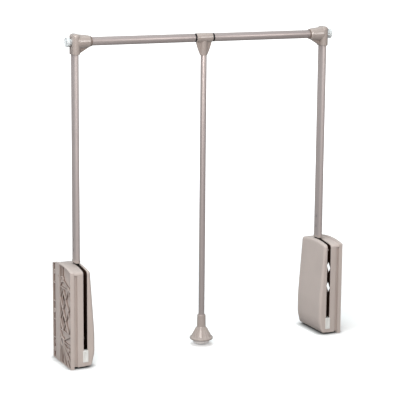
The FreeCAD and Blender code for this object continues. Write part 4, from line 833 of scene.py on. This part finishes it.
SLOT_FOOT = 15.5
STOP_CENTRE = (ARM_X, 0, (SLOT_FOOT + 0.05 + 46.6) / 2.0)
STOP_CORE, STOP_CORE_R, CORE_FRONT, CORE_BACK = (13.5, 3.4), 2.0, -63.3, -48.1
STOP_CAP, STOP_CAP_R, CAP_FRONT, CAP_BACK = (14.0, 5.7), 1.5, -64.8, -63.2
STOP_FLANGE, FLANGE_R, FLANGE_FRONT, FLANGE_BACK = (13.0, 7.5), 2.0, -60.9, -48.2
DENT_TALL, DENT_WIDE = 10.5, 4.0
DENT_ROWS = np.array([(0.0, 1.0), (0.12, 0.96), (0.45, 0.86), (0.55, 0.7), (0.55, 0.0)])


def stop_bumper_surfaces():
    """Core in the slot, a wider cap on the housing's front with a shallow oval dent, and the
    flange behind. DENT_ROWS gives each row's depth and its share of the oval's size."""
    core_line = [(0, CORE_BACK), (STOP_CORE_R, CORE_BACK, 0.5), (STOP_CORE_R, CORE_FRONT), (0, CORE_FRONT)]
    core = carried(block(*STOP_CORE, 6), soft_line(core_line, closed=False), STOP_CENTRE, "Y")
    points, normals = block(*STOP_CAP, 6)
    cap_line = [(STOP_CAP_R, CAP_BACK), (STOP_CAP_R, CAP_FRONT, 0.6), (0.4, CAP_FRONT)]
    rim = carried((points, normals), soft_line(cap_line, closed=False), STOP_CENTRE, "Y")
    depth, share = DENT_ROWS[:, :1], DENT_ROWS[:, 1:]
    angle = np.arctan2(normals[:, 1], normals[:, 0])
    dent = np.zeros((len(DENT_ROWS), len(points), 3))
    dent[:, :, 0] = np.sin(angle) * DENT_WIDE * share + STOP_CENTRE[0]
    dent[:, :, 1] = CAP_FRONT + depth
    dent[:, :, 2] = np.cos(angle) * DENT_TALL * share + STOP_CENTRE[2]
    cap = np.concatenate([rim, dent])
    flange_line = [(0, FLANGE_FRONT), (FLANGE_R, FLANGE_FRONT, 0.5)]
    flange_line += [(FLANGE_R, FLANGE_BACK, 0.5), (0, FLANGE_BACK)]
    flange = carried(block(*STOP_FLANGE, 5), soft_line(flange_line, closed=False), STOP_CENTRE, "Y")
    return [(core, False), (capped(cap), False), (capped(flange), False)]


SMALL = [
    ("side_bumper", side_bumper_surfaces(), "frame", "clear_plastic", CLEAR),
    ("rod_ring", rod_ring_surfaces(), "frame", "black_plastic", SMOKED),
    ("arm_foot", arm_foot_surfaces(), "frame", "fitting_plastic", FITTING),
    ("stop_bumper", stop_bumper_surfaces(), "housing", "soft_stop", STOP),
]
for side in SIDES:
    for node, surfaces, body, slot, look in SMALL:
        add_skin(f"{side}_{node}", mirror(surfaces, side), f"{side}_{body}", slot, look)

# %% [markdown]
# ## Cover shells
# The cover is the smooth inner half of a housing, the largest plain surface of the product. From
# the side it is an upright with an arched top; from the front its face is fullest low down,
# leans back above and curves in to a narrow heel. It could be a subdivided block, but then the
# proportions are hard to hold, so it is worked out: the side outline is drawn in step by step,
# and each point is lifted to the face's height at its level. Two such skins, one the wall's
# thickness inside the other, are joined at the open edge.

# %% Cover shells
COVER_HALF, COVER_FOOT, COVER_WALL = 63.5, 5.0, 2.5
COVER_CORNER, FOOT_CORNER = 8.5, 2.0
FACE_ROUND, FOOT_FACE_ROUND, INNER_EASE = 7.0, 2.6, 0.35
ROUND_FROM, ROUND_OVER = 22.0, 14.0
COVER_IN = 1.5
ARCH_R = (DEEP_HALF**2 + CROWN_RISE**2) / (2.0 * CROWN_RISE) - COVER_IN
ARCH_Z = CROWN_Z - COVER_IN - ARCH_R
FULL_OUT, HEEL_TOP, HEEL_IN, HEEL_TALL, HEEL_REACH = 67.2, 48.0, 11.2, 43.0, 43.5
UPRIGHT_TOP, BEND_R, LEAN = 80.0, 300.0, math.radians(4.1)
PARTING, SLOT_HALF, SLOT_REACH, LEAST_WALL, EDGE_BREAK = 41.0, 5.5, 12.4, 0.2, 0.4
SPINE_FOOT, SPINE_TOP = 66.0, 200.0


def face_out(z):
    """Distance of the cover's face from the wall at a height: an arc for the heel, upright above
    it, a bend of radius BEND_R, then a straight line at LEAN."""
    heel_r = (HEEL_IN**2 + HEEL_TALL**2) / (2.0 * HEEL_IN)
    heel = FULL_OUT - heel_r + np.sqrt(heel_r**2 - np.clip(HEEL_TOP - z, 0, HEEL_REACH) ** 2)
    bend_tall = BEND_R * math.sin(LEAN)
    up = np.clip(z - UPRIGHT_TOP, 0.0, bend_tall)
    bend = FULL_OUT - BEND_R + np.sqrt(BEND_R**2 - up**2)
    beyond = np.clip(z - UPRIGHT_TOP - bend_tall, 0.0, None) * math.tan(LEAN)
    return np.where(z < HEEL_TOP, heel, bend - beyond)


def outline_run(y, z, ny, nz, base):
    """A stretch of outline: five columns of the same length, made from numbers or arrays."""
    return np.broadcast_arrays(*np.atleast_1d(y, z, ny, nz, base))


def cover_outline():
    """The body's side view as skeleton points, normals and base offsets, anticlockwise from the
    middle of the foot: foot, back, back corner, arch, front corner, front, foot."""
    across = COVER_HALF - COVER_CORNER
    upright = ARCH_Z + math.sqrt((ARCH_R - COVER_CORNER) ** 2 - across**2)
    lean = math.asin(across / (ARCH_R - COVER_CORNER))
    low_y, low_z = COVER_HALF - FOOT_CORNER, COVER_FOOT + FOOT_CORNER
    below_slot = np.linspace(low_z, SLOT_FOOT - 0.1, 5)
    beside_slot = np.linspace(SLOT_FOOT + 0.1, upright, 40)
    edge_z = np.concatenate([below_slot, beside_slot])
    low_turn = np.linspace(-np.pi / 2, 0.0, 8)
    turn = np.linspace(0.0, np.pi / 2 - lean, 10)[1:]
    sweep = np.linspace(lean, -lean, 60)[1:-1]
    foot_y = np.linspace(0.0, low_y, 12)[:-1]
    back = [
        outline_run(foot_y, low_z, 0.0, -1.0, FOOT_CORNER),
        outline_run(low_y, low_z, np.cos(low_turn), np.sin(low_turn), FOOT_CORNER),
        outline_run(across, edge_z, 1.0, 0.0, COVER_CORNER),
        outline_run(across, upright, np.cos(turn), np.sin(turn), COVER_CORNER),
    ]
    right = [np.concatenate(column) for column in zip(*back)]
    left = [column[::-1].copy() for column in right]
    left[0], left[2] = -left[0], -left[2]
    arch = outline_run(0.0, ARCH_Z, np.sin(sweep), np.cos(sweep), ARCH_R)
    return [np.concatenate([a, b, c[:-1]]) for a, b, c in zip(right, arch, left)]


def cover_skin(inset, sy, sz, ny, nz, base, in_slot):
    """Rows from the open edge to the middle of the face, for one skin of the cover. On the
    rounding, inset and height follow a quarter circle of radius r: inset r(1 - cos a) and
    height face - r(1 - sin a)."""
    low = eased((ROUND_FROM - (sz + nz * base)) / ROUND_OVER)
    r = FACE_ROUND * (1 - low) + FOOT_FACE_ROUND * low - inset * (1 - INNER_EASE * low)
    edge_y = sy + ny * (base - inset)
    edge_z = sz + nz * (base - inset)
    rim = PARTING + SLOT_HALF * in_slot
    wall_tall = np.maximum(face_out(edge_z) - inset - r, rim + LEAST_WALL) - rim
    rows = []
    for t in np.linspace(0.0, 1.0, 5):
        rows.append(np.stack([rim + wall_tall * t, edge_y, edge_z], axis=-1))
    for a in np.linspace(0.0, np.pi / 2, 12)[1:]:
        offset = base - inset - r * (1 - np.cos(a))
        y, z = sy + ny * offset, sz + nz * offset
        rows.append(np.stack([face_out(z) - inset - r * (1 - np.sin(a)), y, z], axis=-1))
    last_y, last_z = rows[-1][:, 1], rows[-1][:, 2]
    spine_z = np.clip(last_z, SPINE_FOOT, SPINE_TOP)
    for t in np.linspace(0.0, 1.0, 14)[1:]:
        y = last_y * (1 - t)
        z = last_z + (spine_z - last_z) * t
        rows.append(np.stack([face_out(z) - inset, y, z], axis=-1))
    return np.stack(rows)


def cover_surface():
    """Outer and inner skins joined at the open edge, which has a small break, and each row's painted
    shade: 1 on the inner skin, except its row at the open edge, and 0 elsewhere."""
    sy, sz, ny, nz, base = cover_outline()
    y, z = sy + ny * base, sz + nz * base
    in_slot = ((y < SLOT_REACH) & (z > SLOT_FOOT)).astype(float)
    outer = cover_skin(0.0, sy, sz, ny, nz, base, in_slot)
    inner = cover_skin(COVER_WALL, sy, sz, ny, nz, base, in_slot)
    lip = outer[:1].copy()
    lip[:, :, 1] -= ny * EDGE_BREAK
    lip[:, :, 2] -= nz * EDGE_BREAK
    outer[0, :, 0] += EDGE_BREAK
    grid = np.concatenate([inner[::-1], lip, outer])
    grid[:, :, 0] += WALL_X
    # Painted shade: the rows of the inner skin get 1, which darkens them to the shade colour.
    inside = np.arange(len(grid)) < len(inner) - 1
    return grid, inside.astype(float)


cover_grid, cover_shade = cover_surface()
for side in SIDES:
    name = f"{side}_cover_skin"
    cover_mesh = skin(name, mirror([(cover_grid, False)], side), 38.0, [cover_shade])
    add_piece(name, cover_mesh, f"{side}_housing", f"{side}_cover_shell", "housing_plastic", HOUSING)

# %% [markdown]
# ## Base shells
# The base is the ribbed half that is screwed to the wall. Its lattice, fan ribs, wells and windows are
# true features of the engineering model, so its mesh is copied and softened: flat facets are joined again,
# a Bevel modifier rounds every crisp edge as a mould does, by 0.4 mm at most and less where ribs meet
# closely, and each face corner gets painted shade by how deep in a cell, in the front groove or inside the
# housing it lies. The ribs could be rebuilt from curves, but every crossing would have to be trimmed by
# hand.

# %% Base shells
MERGED_WITHIN, FLAT_WITHIN = 2e-6, math.radians(0.5)
BEVEL_WIDTH, BEVEL_FROM = 0.4 * MM, math.radians(40.0)
LEVEL_FROM = 0.7
# Painted shade: amounts on cell floors and cell walls and in the front groove, and over how many
# millimetres from the wall the walls' shade deepens.
CELL_FLOOR_SHADE, CELL_WALL_SHADE, GROOVE_SHADE, WALL_SHADE_FADE = 0.25, 0.4, 0.45, 6.0
BODY_HALF, BODY_FOOT, BODY_UNDER, BODY_FROM = 58.4, 6.9, 3.4, 8.2
CELL_HALF, CELL_FOOT, CELL_UNDER, CELL_FROM, CELL_TO = 62.7, 2.3, 2.3, 0.3, 10.0
GROOVE_Y, GROOVE_FOOT, GROOVE_FROM, GROOVE_TO = -59.5, 5.2, 10.2, 19.3


def softened(node):
    """A copy of a node's mesh with its facets joined: loose triangles merged at their corners
    and flat neighbours dissolved. A face of many corners is then cut into triangles again, or
    a bevel would draw it across the holes it goes round."""
    mesh = bpy.data.meshes.new(node.name + "_soft")
    work = bmesh.new()
    work.from_mesh(node.data)
    work.transform(node.matrix_world)
    bmesh.ops.remove_doubles(work, verts=work.verts, dist=MERGED_WITHIN)
    bmesh.ops.dissolve_limit(work, angle_limit=FLAT_WITHIN, verts=work.verts, edges=work.edges)
    bmesh.ops.triangulate(work, faces=[face for face in work.faces if len(face.verts) > 4])
    bmesh.ops.recalc_face_normals(work, faces=work.faces)
    work.to_mesh(mesh)
    work.free()
    return mesh


def numbers(items, key, width=1, kind=float):
    """One attribute of all items of a mesh collection as rows of numbers."""
    flat = np.zeros(len(items) * width, kind)
    items.foreach_get(key, flat)
    return flat.reshape(-1, width) if width > 1 else flat


def from_wall(points):
    """How far in front of the wall points of a mesh lie, in millimetres."""
    return -WALL_X - np.abs(points[:, 0] / MM)


def base_painted_shade(mesh):
    """One number of painted shade per face corner: 0 on the outside of the base, the cell floor's amount
    on the floor of a lattice cell, the cell wall's amount rising to 1 down its walls, so that a dark line
    runs round the floor, the groove's amount in the front groove as the flange's shadow, and 1 inside the
    slot or the housing."""
    middle = numbers(mesh.polygons, "center", 3)
    y, z, out = middle[:, 1] / MM, middle[:, 2] / MM, from_wall(middle)
    level = np.abs(numbers(mesh.polygons, "normal", 3)[:, 0]) > LEVEL_FROM
    roof = CROWN_Z - CROWN_RISE * (y / DEEP_HALF) ** 2
    inside = (np.abs(y) < BODY_HALF) & (z > BODY_FOOT) & (z < roof - BODY_UNDER) & (out > BODY_FROM)
    in_rim = (np.abs(y) < CELL_HALF) & (z > CELL_FOOT) & (z < roof - CELL_UNDER)
    in_cell = in_rim & (out > CELL_FROM) & (out < CELL_TO)
    in_groove = (y <= GROOVE_Y) & (z >= GROOVE_FOOT) & (out >= GROOVE_FROM) & (out <= GROOVE_TO)
    owner = np.repeat(np.arange(len(mesh.polygons)), numbers(mesh.polygons, "loop_total", kind=np.int32))
    point = numbers(mesh.loops, "vertex_index", kind=np.int32)
    down = np.clip(from_wall(numbers(mesh.vertices, "co", 3))[point] / WALL_SHADE_FADE, 0.0, 1.0)
    cell = np.where(level[owner], CELL_FLOOR_SHADE, CELL_WALL_SHADE + (1.0 - CELL_WALL_SHADE) * down)
    elsewhere = np.where(in_groove, GROOVE_SHADE, 0.0)[owner]
    return np.where(inside[owner], 1.0, np.where(in_cell[owner], cell, elsewhere))


for side in SIDES:
    name = f"{side}_base_skin"
    base_mesh = softened(NODES[f"{side}_base_shell"])
    # Painted shade in the lattice cells, the front groove, the slot and the housing's inside.
    depth = base_painted_shade(base_mesh)
    set_painted_shade(base_mesh, depth, "CORNER")
    base_mesh.shade_smooth()
    base_mesh.set_sharp_from_angle(angle=math.radians(30.0))
    base = add_piece(name, base_mesh, f"{side}_housing", f"{side}_base_shell", "housing_plastic", HOUSING)
    edge = base.modifiers.new("mould_edges", "BEVEL")
    edge.width = BEVEL_WIDTH
    edge.segments = 2
    edge.limit_method = "ANGLE"
    edge.angle_limit = BEVEL_FROM
    edge.harden_normals = True
    print(name, "face corners in hollows:", int((depth > 0.5).sum()), "of", len(depth))
